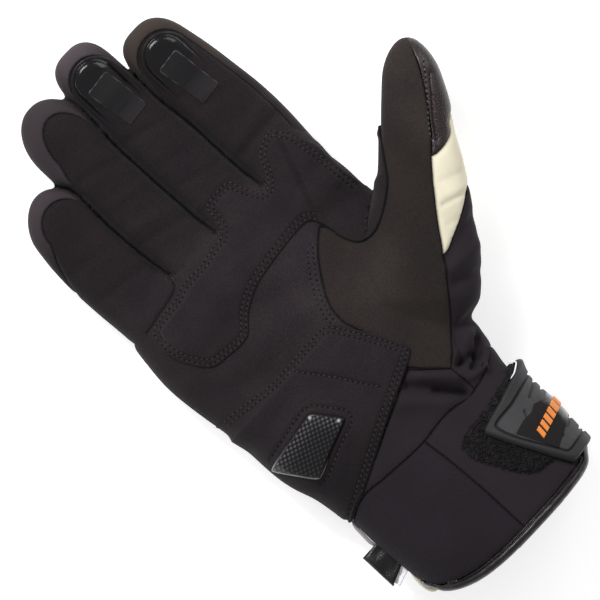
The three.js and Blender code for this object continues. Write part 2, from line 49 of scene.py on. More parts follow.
FINGER_POWER = 2.8  # 2 is an ellipse, more is squarer
BODY_POWER = 2.5
CLOTH = 2.0  # thickness of a sewn panel
SEAM_ROLL = 1.6  # how far from a seam the cloth starts to dip
SEAM_DIP = 0.45
SEAM_CREASE = 0.8
RIM_HEIGHT = 4.4  # leather edging round the mouth
PALM_Z = 18  # height of the side seam round the hand
THUMB_Z = 26  # height of the side seam round the thumb
HIGH = 200
RING_STEP = 2.5  # between the rings of a tube
TIP_RINGS = (0, 0.16, 0.32, 0.46, 0.58, 0.69, 0.78, 0.86, 0.92, 0.965, 0.99)  # shares of a rounded tip
FINE_STEP = 0.8  # between the points of a fine line
JUMP = 4  # a longer step ends a run of stitches
TINY = 1e-6  # keeps a division by zero out
FAR = 1e3  # farther than any distance on the glove
ON_LINE = 1e-4  # a field nearer to zero than this counts as positive

Row = namedtuple("Row", "y x width z thick")
Slice = namedtuple("Slice", "y left right top bottom")
Digit = namedtuple("Digit", "turn tip tip_length blunt rows")
Fold = namedtuple("Fold", "x0 y0 x1 y1 width height")

DIGITS = {
    "index": Digit(0, 134, 16, 2.7, [
        Row(30, 46.0, 30.0, 19.0, 30.0), Row(50, 46.6, 29.8, 16.0, 28.0), Row(65, 46.7, 32.2, 13.6, 26.5),
        Row(80, 46.6, 32.8, 12.2, 25.5), Row(95, 46.0, 31.6, 12.6, 24.8), Row(108, 45.2, 30.4, 15.0, 24.2),
        Row(120, 44.3, 28.2, 18.6, 23.0)]),
    "middle": Digit(0, 147.8, 15, 2.7, [
        Row(30, 17.5, 27.0, 19.0, 30.0), Row(50, 18.0, 27.6, 16.4, 28.5), Row(65, 17.8, 27.6, 14.2, 27.2),
        Row(82, 17.5, 27.8, 12.6, 26.2), Row(100, 17.3, 27.4, 13.0, 25.2), Row(116, 17.2, 26.3, 15.6, 24.6),
        Row(132, 17.2, 25.4, 19.6, 23.6)]),
    "ring": Digit(0, 143.2, 21, 2.0, [
        Row(30, -8.5, 27.0, 18.5, 29.0), Row(50, -8.3, 27.4, 15.6, 27.5), Row(65, -8.4, 27.6, 13.4, 26.0),
        Row(80, -8.8, 27.6, 12.1, 25.0), Row(95, -8.9, 27.8, 12.2, 24.5), Row(110, -9.8, 29.8, 14.2, 24.0),
        Row(122, -9.6, 30.4, 17.0, 23.6)]),
    "little": Digit(0, 116.8, 15, 1.85, [
        Row(30, -36.4, 30.0, 16.5, 27.0), Row(50, -35.8, 30.4, 13.8, 25.0),
        Row(65, -36.3, 31.0, 11.8, 23.5), Row(80, -36.5, 31.0, 10.9, 22.6),
        Row(92, -36.1, 30.2, 11.4, 22.0), Row(102, -35.2, 28.8, 13.4, 21.4)]),
    "thumb": Digit(-45, 118.4, 17, 2.0, [
        Row(-4, 48.5, 48.0, 20.5, 39.0), Row(10, 49.5, 49.6, 21.5, 41.0), Row(25, 50.6, 49.4, 23.5, 40.0),
        Row(40, 51.7, 43.6, 26.0, 35.0), Row(55, 52.4, 38.0, 28.0, 30.5), Row(69, 52.0, 33.6, 29.0, 27.2),
        Row(80, 50.9, 30.2, 29.5, 25.2), Row(91, 50.5, 28.4, 30.0, 24.0),
        Row(101, 49.5, 25.2, 30.4, 22.4)]),
}
HAND = [
    Slice(60, -41.0, 53.0, 20.0, 2.0), Slice(55, -46.5, 58.0, 27.5, -1.0),
    Slice(46, -51.3, 60.4, 32.5, -2.5), Slice(36, -53.4, 61.0, 35.5, -3.0),
    Slice(24, -54.8, 61.8, 37.0, -3.0), Slice(10, -54.2, 61.0, 38.0, -3.0),
    Slice(-5, -52.2, 58.0, 39.5, -3.0), Slice(-20, -49.9, 55.0, 41.5, -3.0),
    Slice(-35, -48.6, 53.0, 42.5, -3.0), Slice(-50, -45.8, 51.6, 43.0, -2.0),
    Slice(-60, -43.7, 49.6, 43.5, 0.5), Slice(-70, -42.9, 47.2, 45.0, 2.8),
    Slice(-82, -43.0, 47.0, 49.0, 2.8), Slice(-96, -42.1, 46.9, 52.5, 2.8),
    Slice(-110, -41.4, 46.0, 54.5, 2.8), Slice(-130, -40.6, 44.2, 56.0, 2.8),
]

# Seams and outlines seen from above
PALM_PATCH = [
    (-44, 40), (-42, 44.4), (-36, 46), (-26, 46.8), (-20, 48.6), (-8, 48.8), (2, 50.4), (6.4, 51),
    (8.6, 56), (9.6, 62.6), (17, 64.4), (25, 63.4), (27.6, 57), (31.6, 50), (36, 53.6), (39.6, 60.6),
    (45.6, 64.8), (53, 65.4), (59, 60), (63.6, 48), (63.6, 32), (65, 23), (68, 23), (76, 31), (83, 38),
    (86.4, 36.6), (80, 28.8), (74.5, 21.5), (69, 14.8), (60, 8.6), (50, 4.6), (42.8, 6.5), (39.2, 13),
    (37.9, 21), (35, 27.6), (28, 28.2), (12, 26.9), (0, 24.8), (-9, 20), (-16.6, 13.6), (-27, 13.8),
    (-35.4, 15.8), (-41.4, 24), (-44.2, 32),
]
HEEL_PATCH = [
    (-60, -5.4), (-20, -5.6), (6, -5.0), (10, -7.4), (16, -17), (24.8, -35), (25.2, -38), (22, -40.4),
    (2, -49), (-20, -59.2), (-43, -70.2), (-60, -78),
]
SLIDER = [
    (-48.6, -31.2), (-47.4, -29.8), (-36, -27.6), (-23.3, -25.6), (-20.9, -26.3), (-16.8, -31.8),
    (-13.4, -37.2), (-14, -38.8), (-26.5, -42.9), (-36.6, -46.9), (-38.6, -46.7), (-43.2, -40.4),
]
LIFE_LINE = [
    (36.5, 23), (30.5, 18.4), (25, 12.6), (20, 6), (16.8, 0.5), (15, -5), (14.6, -11), (17, -20),
    (18.8, -42.4),
]
THUMB_SEAM = [
    (117.6, 50), (112, 38), (105, 27.6), (96, 16.4), (88.5, 9.2), (80, 0), (70, -12), (62.5, -22),
    (50, -37), (40, -47.6), (31, -55.6),
]
CUFF_SEAM = [
    (-62, -72), (-44, -69.4), (-34, -65.2), (-20, -66.4), (0, -67.9), (14, -66.9), (29, -68.6), (41, -66.6),
    (49, -62), (62, -58),
]
LEATHER_EDGE = [(124, 22), (104.4, 13.6), (101, 9.7), (95, 8.2), (88.5, 9.2), (72, 22), (67, 32)]
CREAM_EDGE = [(112, 0), (91.7, -9.2), (82, -15), (72, -19.4), (62.5, -22), (54, -12), (56, 6)]
RIM = [
    (-62, -104), (-42, -110), (-38.4, -116), (-32, -120.4), (-22, -123.6), (-8, -125.3), (12, -125.7),
    (30, -125.1), (41, -123.4), (46, -119), (62, -110),
]
STRETCH_EDGE = [(0.4, -60), (2.6, -80), (3.6, -100), (3.7, -132)]
STRAP_TAB = [
    (20.4, -84.6), (21.6, -82.6), (34, -79.4), (45.6, -75.8), (49.4, -71.8), (53, -70.4), (70, -69.8),
    (70, -116.4), (50, -117.4), (38.4, -118.3), (36, -117.2),
]
STRAP_RECESS = [
    (25.2, -85.2), (38, -82.6), (54, -79.4), (70, -78.6), (70, -113.2), (50, -113.4), (39.4, -114.2),
    (37.6, -112.6),
]
STRAP_WINDOW = [
    (28.4, -92.9), (34.8, -91.4), (39.4, -91.6), (42.4, -90), (46.7, -91.6), (49.9, -90.6), (70, -90),
    (70, -103.4), (50.4, -103), (44.2, -106.3), (36.4, -110),
]
LOOP_PATCH = [
    (10.2, -83.4), (11.4, -80.6), (14.6, -78.9), (28, -77.6), (44, -74.8), (50, -74), (50, -111.4),
    (24.8, -109.6), (20.8, -106.6), (14.4, -96), (10.8, -88),
]
SEWN_STRAP = [(8, -74.4), (70, -74.4), (70, -112.4), (8, -112.4)]
SEWN_STRAP_TOP = 12.6  # the strap end takes over from here up
CLOSING = {
    "mouth": [(150, -100), (150, 170), (-90, 170), (-90, -100)],
    "cuff": [(62, -140), (-62, -140)],
    "stretch": [(-62, -132), (-62, -60)],
    "palm_wrist": [(-62, -75), (18.2, -42.8)],
    "palm_fingers": [(46, 13), (66, 18), (66, 44), (58.4, 56), (57.6, 62), (40, 56), (-46, 50), (-62, 62)],
    "thumb_web": [(119, 62), (80, 50), (62, 24), (58, 19), (46, 13.6)],
    "gusset_heel": [(-62, -76), (18.4, -43.2)],
    "gusset_cuff": [(31, -74), (-62, -84)],
    "leather": [(70, 48), (80, 70), (140, 70)],
    "cream": [(76, 22), (118, 34)],
    "thumb_side": [(31, -76), (70, -76), (110, -8), (70, -8)],
}
# How far each finger's front panel lies inside the finger's outline, low on both sides and at the tip
Front = namedtuple("Front", "left right tip_left tip_right tip")
FINGER_FRONTS = {
    "index": Front(-0.8, 3.0, 1.8, 3.0, 6.2),
    "middle": Front(-0.8, -0.8, 1.6, 1.6, 6.4),
    "ring": Front(-0.8, -0.8, 7.0, 1.6, 8.8),
    "little": Front(-0.8, -0.8, 6.0, 1.4, 6.8),
}
# Slots between the fingers
SLOTS = [
    [(-19.8, 54.6), (-21, 64), (-22, 75), (-22.3, 86), (-22, 96), (-21.4, 103), (-22.2, 108.6),
     (-25.2, 113.6)],
    [(5.6, 53), (4.7, 62), (4, 80), (3.7, 94), (3.6, 102), (3.9, 110), (4.8, 118), (5.4, 125),
     (4.9, 131), (3.6, 137)],
    [(32.8, 52.2), (31.8, 60), (31.3, 72), (31.4, 82), (31, 93), (30.1, 102), (29.7, 110),
     (30.1, 118), (30.4, 125)],
]
NOTCH = {"x": 30.3, "y": 128.0, "width": 1.1, "deeper": 3.6}  # between the index and middle fingertips
THUMB_TIP = [(117, 48), (119, 50)]  # where the thumb's seams meet and lie flat
SLOT_WIDTH = 1.0
SLOT_DEPTH = 6.0
FRONT_DROP = 2.0  # how far a finger's front panel runs down below the middle of its side

# Raised or sunk lines in the cloth, with the width and height of each
FOLDS = [
    Fold(13, -48, 27, -66, 2.4, -3.6), Fold(20, -57, 27.5, -66.6, 1.1, -1.6),
    Fold(6, -50, 20, -64, 4.0, 1.6), Fold(20, -49, 30, -60, 3.0, 2.2), Fold(48, -55, 42, -60.2, 1.5, -3.4),
    Fold(42, -60.2, 37, -62, 1.3, -3.0), Fold(41.5, -58, 33.5, -57, 1.2, -2.4),
    Fold(46, -61.4, 39.6, -65.6, 1.8, 2.0), Fold(39.6, -65.6, 33, -64, 1.7, 1.6),
    Fold(37, -53.4, 46, -52, 2.2, 1.6), Fold(42, -47, 55, -48, 2.2, -1.6),
    Fold(41.4, -50, 36, -57, 1.8, -2.4), Fold(57, -34, 74, -40, 2.4, -1.4),
    Fold(60, -28, 80, -30, 2.6, 1.2), Fold(62, -24, 84, -20, 2.2, -1.2),
    Fold(83.5, -0.6, 92.7, -4.4, 1.5, -0.35), Fold(76.9, -7.9, 87.2, -11.2, 1.0, -0.8),
    Fold(79, -5.4, 89, -8.6, 1.8, 0.4), Fold(72.6, -14.7, 77.2, -16, 1.2, -0.3),
    Fold(-14, 22, 18, 10, 7.0, -1.8), Fold(-46, 10, -22, -3, 6.0, -1.3), Fold(-30, 8, 6, 4, 6.0, 1.0),
    Fold(42, 24, 58, 20, 6.5, -2.4), Fold(38, 34, 56, 33, 6.0, 1.2), Fold(8, 46, 26, 38, 7.0, -1.2),
    Fold(-18, 78, 0, 73, 2.4, 0.8), Fold(-18, 71, 2, 66, 2.0, -0.9), Fold(8, 104, 26, 99, 2.0, -0.7),
    Fold(36, 70, 58, 74, 3.0, 0.8), Fold(37, 66.4, 58, 67.6, 2.0, -1.1), Fold(8, 64.8, 25, 64.6, 1.6, 0.7),
    Fold(-48, 68, -26, 64, 2.2, -0.7), Fold(-17, 107, 2, 102, 2.0, -0.6), Fold(9, 88, 25, 83, 2.4, -0.5),
    Fold(-46, 84, -28, 80, 2.4, -0.5), Fold(-15, 91, 0, 88, 2.0, 0.5), Fold(10, 76, 27, 71, 1.8, -0.6),
    Fold(-20, 54, -14, 52.4, 0.9, -0.9), Fold(38, 92, 56, 88, 2.2, -0.6),
    Fold(-50, -52, -22, -48, 6.0, -1.2), Fold(-48, -18, -20, -16, 5.0, -0.9),
    Fold(-4, -20, 10, -30, 7.0, 1.0), Fold(-40, -38, -22, -34, 12.0, 1.6), Fold(46, -8, 66, 6, 14.0, 1.2),
    Fold(22, -14, 34, -2, 9.0, -0.9),
]

# Where the deepest folds close on themselves; shade is painted along them
CREASES = [
    [(48, -55), (46.4, -57.8), (42.4, -60.6), (37.4, -62)], [(41.5, -58), (37.6, -57.8), (33.5, -57)],
    [(19, -56.4), (23.4, -61.6), (27, -66.4)],
]


# Curves, lines and distances

def eased(t):
    """From 0 to 1 with level ends."""
    return t * t * (3 - 2 * t)


def bell(distance, reach, power=2):
    """1 at no distance, falling off smoothly past the reach."""
    return np.exp(-(distance / reach) ** power)


def ramp(value, start, end):
    """From 0 at start up to 1 at end, and level past both."""
    return np.clip((value - start) / (end - start), 0, 1)


def read(rows, name, y):
    """One named column at any y: a smooth curve through the rows, straight on past the highest."""
    rows = sorted(rows, key=lambda row: row.y)
    ys = np.array([row.y for row in rows], float)
    values = np.array([getattr(row, name) for row in rows], float)
    slopes = np.gradient(values, ys)
    y = np.asarray(y, float)
    i = np.clip(np.searchsorted(ys, y) - 1, 0, len(ys) - 2)
    span = ys[i + 1] - ys[i]
    t = np.clip((y - ys[i]) / span, 0, 1)
    curve = span * (slopes[i] * t * (1 - t) ** 2 - slopes[i + 1] * t * t * (1 - t))
    past = np.where(y > ys[-1], (y - ys[-1]) * slopes[-1], 0)
    return values[i] * (1 - eased(t)) + values[i + 1] * eased(t) + curve + past


def smooth_line(points, closed=False, step=1.5):
    """Points at an even step along a smooth curve through the given ones."""
    p = np.array(points, float)
    n = len(p)
    out = []
    for i in range(n if closed else n - 1):
        near, far = p[i], p[(i + 1) % n]
        before = p[(i - 1) % n] if closed or i else near
        after = p[(i + 2) % n] if closed or i + 2 < n else far
        length = np.linalg.norm(far - near)
        leaving = (far - before) * length / max(np.linalg.norm(near - before) + length, TINY)
        arriving = (after - near) * length / max(np.linalg.norm(after - far) + length, TINY)
        for t in np.arange(0, 1, 1 / max(int(length / step), 1)):
            bent = leaving * t * (1 - t) ** 2 - arriving * t * t * (1 - t)
            out.append(near * (1 - eased(t)) + far * eased(t) + bent)
    if not closed:
        out.append(p[-1])
    return np.array(out)


def outline_through(points, step=1.5):
    """Corners of a smooth closed outline through the given points."""
    return [tuple(p) for p in smooth_line(points, closed=True, step=step)]


def sideways(along):
    """Directions of length 1, square to the given ones and to their left."""
    along = along / np.hypot(along[:, 0], along[:, 1])[:, None]
    return np.stack([-along[:, 1], along[:, 0]], axis=1)


def away(points, line):
    """Distance of points in x and y from an open line."""
    p = np.asarray(points, float)[:, :2]
    best = np.full(len(p), FAR)
    for (ax, ay), (bx, by) in zip(line, line[1:]):
        dx, dy = bx - ax, by - ay
        t = np.clip(((p[:, 0] - ax) * dx + (p[:, 1] - ay) * dy) / max(dx * dx + dy * dy, TINY ** 2), 0, 1)
        best = np.minimum(best, np.hypot(p[:, 0] - ax - t * dx, p[:, 1] - ay - t * dy))
    return best


def inside(points, outline):
    """Signed distance of points in x and y from a closed outline, positive inside."""
    p = np.asarray(points, float)[:, :2]
    corners = [tuple(corner) for corner in outline]
    crossings = np.zeros(len(p), int)
    for (ax, ay), (bx, by) in zip(corners, corners[1:] + corners[:1]):
        spans = (ay > p[:, 1]) != (by > p[:, 1])
        rise = by - ay if abs(by - ay) > TINY ** 2 else TINY ** 2
        where = ax + (p[:, 1] - ay) * (bx - ax) / rise
        crossings += spans & (p[:, 0] < where)
    best = away(p, corners + corners[:1])
    return np.where(crossings % 2 == 1, best, -best)


def inset(outline, depth):
    """A line at an even depth inside a closed outline."""
    p = smooth_line(outline, closed=True, step=FINE_STEP)
    inward = sideways(np.roll(p, -1, axis=0) - np.roll(p, 1, axis=0)) * depth
    if inside(p[:1] + inward[:1] * 0.5, p)[0] < 0:
        inward = -inward
    return (p + inward)[inside(p + inward, p) > depth - 0.12]


def beside(line, distance):
    """A line at an even distance to the left of another, as seen along it."""
    p = smooth_line(line, step=FINE_STEP)
    return p + sideways(np.gradient(p, axis=0)) * distance


def pitched(line, pitch, shift=0.0):
    """Points and directions at an even pitch along a line, in separate runs where the line jumps."""
    line = np.asarray(line, float)
    steps = np.hypot(*np.diff(line, axis=0).T)
    for run in np.split(line, np.flatnonzero(steps > JUMP) + 1):
        if len(run) < 3:
            continue
        length = np.concatenate([[0], np.cumsum(np.hypot(*np.diff(run, axis=0).T))])
        for at in np.arange(pitch * (0.5 + shift), length[-1], pitch):
            here, ahead, back = (
                np.array([np.interp(at + step, length, run[:, axis]) for axis in (0, 1)])
                for step in (0, 0.4, -0.4))
            yield here, ahead - back


def finger_front(name):
    """Outline of a finger's front panel, run down into the palm."""
    digit, front = DIGITS[name], FINGER_FRONTS[name]
    top = digit.tip - front.tip
    bend = top - digit.tip_length * 0.8
    ys = [y for y in range(46, 110, 9) if y < bend - 4] + [bend]

    def edge(side, y):
        low, high = (front.left, front.tip_left) if side < 0 else (front.right, front.tip_right)
        depth = low + (high - low) * ramp(y, 60, bend) ** 3
        return float(read(digit.rows, "x", y) + side * (read(digit.rows, "width", y) / 2 - depth))

    left, right = ([(edge(side, y), y) for y in ys] for side in (-1, 1))
    middle, half = (right[-1][0] + left[-1][0]) / 2, (right[-1][0] - left[-1][0]) / 2
    angles = np.linspace(0.2, math.pi - 0.2, 13)
    arc = [(middle + half * math.cos(a), bend + (top - bend) * math.sin(a)) for a in angles]
    return right + arc + left[::-1]


# Shaping meshes

def section(bm, y, x, z, half_width, half_height, power):
    """A rounded ring in the plane of one y, pressed flat where it meets the surface."""
    verts = bmesh.ops.create_circle(bm, segments=SIDES, radius=1)["verts"]
    for v in verts:
        across = math.copysign(abs(v.co.x) ** (2 / power), v.co.x)
        up = math.copysign(abs(v.co.y) ** (2 / power), v.co.y)
        v.co = Vector((x + half_width * across, y, max(z + half_height * up, 0)))
    return list({e for v in verts for e in v.link_edges})


def tube(bm, rings):
    """Joins rings to one closed tube."""
    for near, far in zip(rings, rings[1:]):
        bmesh.ops.bridge_loops(bm, edges=near + far)
    for end in (rings[0], rings[-1]):
        bmesh.ops.contextual_create(bm, geom=end)


def digit_tube(bm, digit):
    """A finger or the thumb, narrower at its root and in full size 15 mm further on."""
    round_start = digit.tip - digit.tip_length
    root = digit.rows[0].y
    stations = [(y, min(0.8 + (y - root) / 75, 1)) for y in np.arange(root, round_start, RING_STEP)]
    for share in TIP_RINGS:
        size = (1 - share ** digit.blunt) ** (1 / digit.blunt)
        stations.append((round_start + digit.tip_length * share, size))
    rings = []
    for y, size in stations:
        x, width, z, thick = (float(read(digit.rows, name, y)) for name in Row._fields[1:])
        rings.append(section(bm, y, x, z, width / 2 * size, thick / 2 * size, FINGER_POWER))
    tube(bm, rings)
    verts = list({v for ring in rings for e in ring for v in e.verts})
    bmesh.ops.rotate(bm, verts=verts, matrix=Matrix.Rotation(math.radians(digit.turn), 3, "Z"))


def hand_tube(bm):
    rings = []
    for y in np.arange(HAND[0].y, HAND[-1].y - 0.1, -RING_STEP):
        left, right, top, bottom = (float(read(HAND, name, y)) for name in Slice._fields[1:])
        x, z = (left + right) / 2, (top + bottom) / 2
        rings.append(section(bm, y, x, z, (right - left) / 2, (top - bottom) / 2, BODY_POWER))
    tube(bm, rings)


def evaluated(bm, *modifiers):
    """The mesh after the given modifiers, each a type and its settings."""
    draft = shown("draft", mesh_of(bm))
    for kind, settings in modifiers:
        modifier = draft.modifiers.new(kind, kind)
        for name, value in settings.items():
            setattr(modifier, name, value)
    done = bpy.data.meshes.new_from_object(draft.evaluated_get(bpy.context.evaluated_depsgraph_get()))
    mesh = draft.data
    bpy.data.objects.remove(draft)
    bpy.data.meshes.remove(mesh)
    out = bmesh.new()
    add_mesh(out, done)
    return out


def mesh_of(bm, name="draft"):
    mesh = bpy.data.meshes.new(name)
    bm.to_mesh(mesh)
    return mesh


def add_mesh(bm, mesh):
    bm.from_mesh(mesh)
    bpy.data.meshes.remove(mesh)


def shown(name, data):
    """A new object in the scene."""
    made = bpy.data.objects.new(name, data)
    bpy.context.scene.collection.objects.link(made)
    return made


def places(bm):
    return np.array([v.co for v in bm.verts])


def normals(bm):
    """Outward directions, kept from the whole skin once it has them."""
    kept = bm.verts.layers.float_vector.get("out")
    if kept is None:
        bm.normal_update()
        return np.array([v.normal for v in bm.verts])
    out = np.array([v[kept] for v in bm.verts])
    return out / np.maximum(np.linalg.norm(out, axis=1), 1e-9)[:, None]


def keep_normals(bm):
    out = normals(bm)
    layer = bm.verts.layers.float_vector.new("out")
    for v, direction in zip(bm.verts, out):
        v[layer] = direction


def move(bm, co):
    for v, p in zip(bm.verts, co):
        v.co = p


def score(bm, field):
    """Cuts the mesh along the line where field is zero, and returns the field on the new set of points."""
    layer = bm.verts.layers.float.get("field") or bm.verts.layers.float.new("field")
    for v, value in zip(bm.verts, field):
        v[layer] = value if abs(value) > ON_LINE else ON_LINE
    new = []
    for e in list(bm.edges):
        a, b = e.verts
        fa, fb = a[layer], b[layer]
        if (fa > 0) != (fb > 0):
            share = min(max(fa / (fa - fb), 0.1), 0.9)
            _, v = bmesh.utils.edge_split(e, a, share)
            v[layer] = 0.0
            new.append(v)
    bmesh.ops.connect_verts(bm, verts=new)
    bm.verts.index_update()
    return layer


def take(bm, field, keep_rest=True):
    """Cuts off the part where field is positive. Returns that part, and leaves the rest in bm."""
    layer = score(bm, field)
    part = bm.copy()
    out = part.verts.layers.float.get("field")
    rest = [f for f in part.faces if sum(v[out] for v in f.verts) <= 0]
    bmesh.ops.delete(part, geom=rest, context="FACES")
    if keep_rest:
        taken = [f for f in bm.faces if sum(v[layer] for v in f.verts) > 0]
        bmesh.ops.delete(bm, geom=taken, context="FACES")
    return part


def nearest(points, lines):
    """Distance of points from the nearest of several lines."""
    return np.min([away(points, line) for line in lines] + [np.full(len(points), FAR)], axis=0)


def edge_distance(bm):
    """How far each point is from the piece's edge."""
    painted_highlight = [v for v in bm.verts if v.is_boundary]
    tree = kdtree.KDTree(len(painted_highlight))
    for i, v in enumerate(painted_highlight):
        tree.insert(v.co, i)
    tree.balance()
    return np.array([tree.find(v.co)[2] if painted_highlight else FAR for v in bm.verts])


def slot_painted_shade(co):
    """Painted shade in the slots between the fingers: narrow on one side, wide on the flank that turns away
    from the light.
    """
    dark = np.zeros(len(co))
    for line in SLOTS:
        x, y = np.array(line).T
        aside = co[:, 0] - np.interp(co[:, 1], y, x)
        wide = 1 / (1 + np.exp(np.clip(-aside / 0.15, -40, 40)))
        d = away(co, line)
        shade = (1 - wide) * bell(d, 0.9) + wide * (0.3 * bell(d, 1.0) + 0.7 * bell(d, 2.3))
        dark = np.maximum(dark, shade)
    return dark


def refine(bm, reach, lines=()):
    """Finer faces near the edge of a piece and near lines on it."""
    near = np.minimum(edge_distance(bm), nearest(places(bm), lines)) < reach
    marked = {v for v, is_near in zip(bm.verts, near) if is_near}
    edges = [e for e in bm.edges if e.verts[0] in marked and e.verts[1] in marked]
    bmesh.ops.subdivide_edges(bm, edges=edges, cuts=1, use_grid_fill=True)


def rolled(distance, reach):
    """From 0 at an edge up to 1 at reach, as a quarter circle."""
    return np.sqrt(1 - (1 - ramp(distance, 0, reach)) ** 2)


def within(bm, outline, low):
    """Positive inside an outline and above a height."""
    co = places(bm)
    return np.minimum(inside(co, outline), co[:, 2] - low)


def panel(bm, lines=()):
    """Turns a sewn panel's edges under: a soft dip beside each seam, and a narrow crease in it. Paints
    shade along the seams, the slots between the fingers and the deepest fold creases.
    """
    refine(bm, 2.0, lines)
    refine(bm, 0.8, lines)
    co, d = places(bm), edge_distance(bm)
    inner = nearest(co, lines)
    sewn = 1 - np.maximum(bell(nearest(co, SLOTS), 2.4, 4), bell(away(co, THUMB_TIP), 4))
    dip = SEAM_DIP * sewn * bell(np.minimum(d, inner), SEAM_ROLL)
    crease = SEAM_CREASE * (sewn * (1 - rolled(d, 0.55)) + 0.7 * bell(inner, 0.45))
    raised(bm, -dip - crease)
    co = places(bm)
    fold = nearest(co, CREASES) + 2 * (normals(bm)[:, 2] < 0)
    # Painted shade for the seam mask: at the panel's edges, in the slots, along inner seams and along fold
    # creases
    dark = [sewn * bell(d, 0.55), slot_painted_shade(co), 0.7 * bell(inner, 0.5), 0.85 * bell(fold, 1.1)]
    noted(bm, "seam", np.max(dark, axis=0))


def height_at(depth, profile):
    """Height at a depth, from a table of depth and height."""
    depths, heights = zip(*profile)
    return np.interp(depth, depths, heights)


def stepped(bm, outline, profile):
    """Cuts the mesh at each depth of a profile inside an outline, and returns the depth of each point."""
    for depth, _ in profile:
        score(bm, inside(places(bm), outline) - depth)
    return inside(places(bm), outline)


def raised(bm, heights):
    """Moves the surface outwards by a height at each point."""
    co, out = places(bm), normals(bm)
    move(bm, co + out * np.asarray(heights)[:, None])


def noted(bm, name, values):
    """Keeps a number at each point, for the material to read."""
    layer = bm.verts.layers.float.new(name)
    for v, value in zip(bm.verts, values):
        v[layer] = value


def terraced(bm, outline, profile):
    """Raises a surface by its depth inside an outline, and returns that depth."""
    depth = stepped(bm, outline, profile)
    raised(bm, height_at(depth, profile))
    return depth


def grooved(bm, lines, width, depth):
    """Sinks narrow channels along lines."""
    raised(bm, -depth * bell(nearest(places(bm), lines), width))


def smoothed(bm, times):
    for _ in range(times):
        bmesh.ops.smooth_vert(bm, verts=[v for v in bm.verts if not v.is_boundary], factor=0.5)


def region(outline, low, cuts=1, lift=0.0, evened=0):
    """The part of the glove's surface, or of one above it, inside an outline, in finer faces."""
    bm = GLOVE.copy()
    margin = 3 + lift
    corners = np.array(outline, float)
    (left, bottom), (right, top) = corners.min(axis=0) - margin, corners.max(axis=0) + margin
    far = [v for v in bm.verts
           if not (left < v.co.x < right and bottom < v.co.y < top and v.co.z > low - margin)]
    bmesh.ops.delete(bm, geom=far, context="VERTS")
    bmesh.ops.subdivide_edges(bm, edges=bm.edges, cuts=cuts, use_grid_fill=True)
    smoothed(bm, cuts * 2 + evened)
    if lift:
        raised(bm, np.full(len(bm.verts), lift))
        smoothed(bm, cuts * 16)
        bm.verts.layers.float_vector.remove(bm.verts.layers.float_vector["out"])
        keep_normals(bm)
    return take(bm, within(bm, outline, low), keep_rest=False)


def repeated(shape, frames):
    """One mesh of a small shape set down many times, each at a place and with three axes of its own."""
    shape.verts.index_update()
    points = places(shape)
    corners = [[v.index for v in f.verts] for f in shape.faces]
    spread = np.concatenate([points @ np.array(axes) + np.array(place) for place, axes in frames])
    faces = [[i + n * len(points) for i in face] for n in range(len(frames)) for face in corners]
    mesh = bpy.data.meshes.new("draft")
    mesh.from_pydata(spread.tolist(), [], faces)
    shape.free()
    bm = bmesh.new()
    add_mesh(bm, mesh)
    return bm


TOPS = []  # surfaces that stitches and loops are set on


def on_top(x, y):
    """The highest point of the glove under a place, and its normal."""
    hits = [tree.ray_cast(Vector((x, y, HIGH)), Vector((0, 0, -1)))[:2] for tree in TOPS]
    return max((hit for hit in hits if hit[0] is not None), key=lambda hit: hit[0].z, default=None)


def standing(x, y, ahead, size, sink=0.0):
    """A place and axes on the surface: size is length, width and height."""
    hit = on_top(x, y)
    if hit is None:
        return None
    place, up = hit
    along = Vector((*ahead, 0))
    along = (along - up * along.dot(up)).normalized()
    across = up.cross(along)
    axes = [list(axis * extent) for axis, extent in zip((along, across, up), size)]
    return list(place - up * sink), axes


Bead = namedtuple("Bead", "size sink slant shift")
BEADS = {
    "stitches": Bead((0.8, 0.38, 0.32), 0.05, 0.35, 0.0),
    # The near-black dots are painted shade for the needle holes
    "hole_shades": Bead((0.42, 0.46, 0.16), 0.0, 0.0, 0.5),
}


def sew(name, lines, pitch=2.2, look="thread"):
    """Rows of single stitches along lines, each a little askew, and near-black dots between them: painted
    shade where the needle went through.
    """
    for kind, bead in BEADS.items():
        ball = bmesh.new()
        bmesh.ops.create_uvsphere(ball, u_segments=6, v_segments=5, radius=1)
        spots = []
        chance = random.Random(11)
        for line in lines:
            for (x, y), (ahead_x, ahead_y) in pitched(line, pitch, bead.shift):
                lean = bead.slant + chance.uniform(-0.3, 0.3)
                grown = [extent * chance.uniform(0.75, 1.15) for extent in bead.size]
                x, y = x + chance.uniform(-0.14, 0.14), y + chance.uniform(-0.14, 0.14)
                ahead = (ahead_x - lean * ahead_y, ahead_y + lean * ahead_x)
                spots.append(standing(x, y, ahead, grown, bead.sink))
        made = repeated(ball, [spot for spot in spots if spot])
        finish = look if kind == "stitches" else "hole_shade"
        piece(made, f"{name}_{kind}", finish, [], thickness=0)


def piece(bm, name, look, nodes, thickness=CLOTH, carries=False):
    """Finishes a mesh as a piece of the glove."""
    loose = [v for v in bm.verts if not v.link_faces]
    bmesh.ops.delete(bm, geom=loose, context="VERTS")
    numbers = bm.verts.layers.float
    for scratch in ("field", "height"):
        if scratch in numbers:
            numbers.remove(numbers[scratch])
    if carries:
        TOPS.append(BVHTree.FromBMesh(bm))
    bm.transform(Matrix.Scale(METRES, 4))
    mesh = mesh_of(bm, name)
    bm.free()
    mesh.shade_smooth()
    mesh.materials.append(MATERIALS[look])
    made = shown(name, mesh)
    if "out" in mesh.attributes:
        mesh.attributes.remove(mesh.attributes["out"])
    if thickness:
        wall = made.modifiers.new("wall", "SOLIDIFY")
        wall.thickness = thickness * METRES
        wall.offset = -1
        wall.use_even_offset = False
        if "wall" in mesh.attributes:
            share = np.zeros(len(mesh.vertices))
            mesh.attributes["wall"].data.foreach_get("value", share)
            group = made.vertex_groups.new(name="wall")
            for i, weight in enumerate(share):
                group.add([i], weight, "REPLACE")
            wall.vertex_group = "wall"
    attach(made, "root")
    if nodes:
        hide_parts(*nodes)
    return made


# Materials

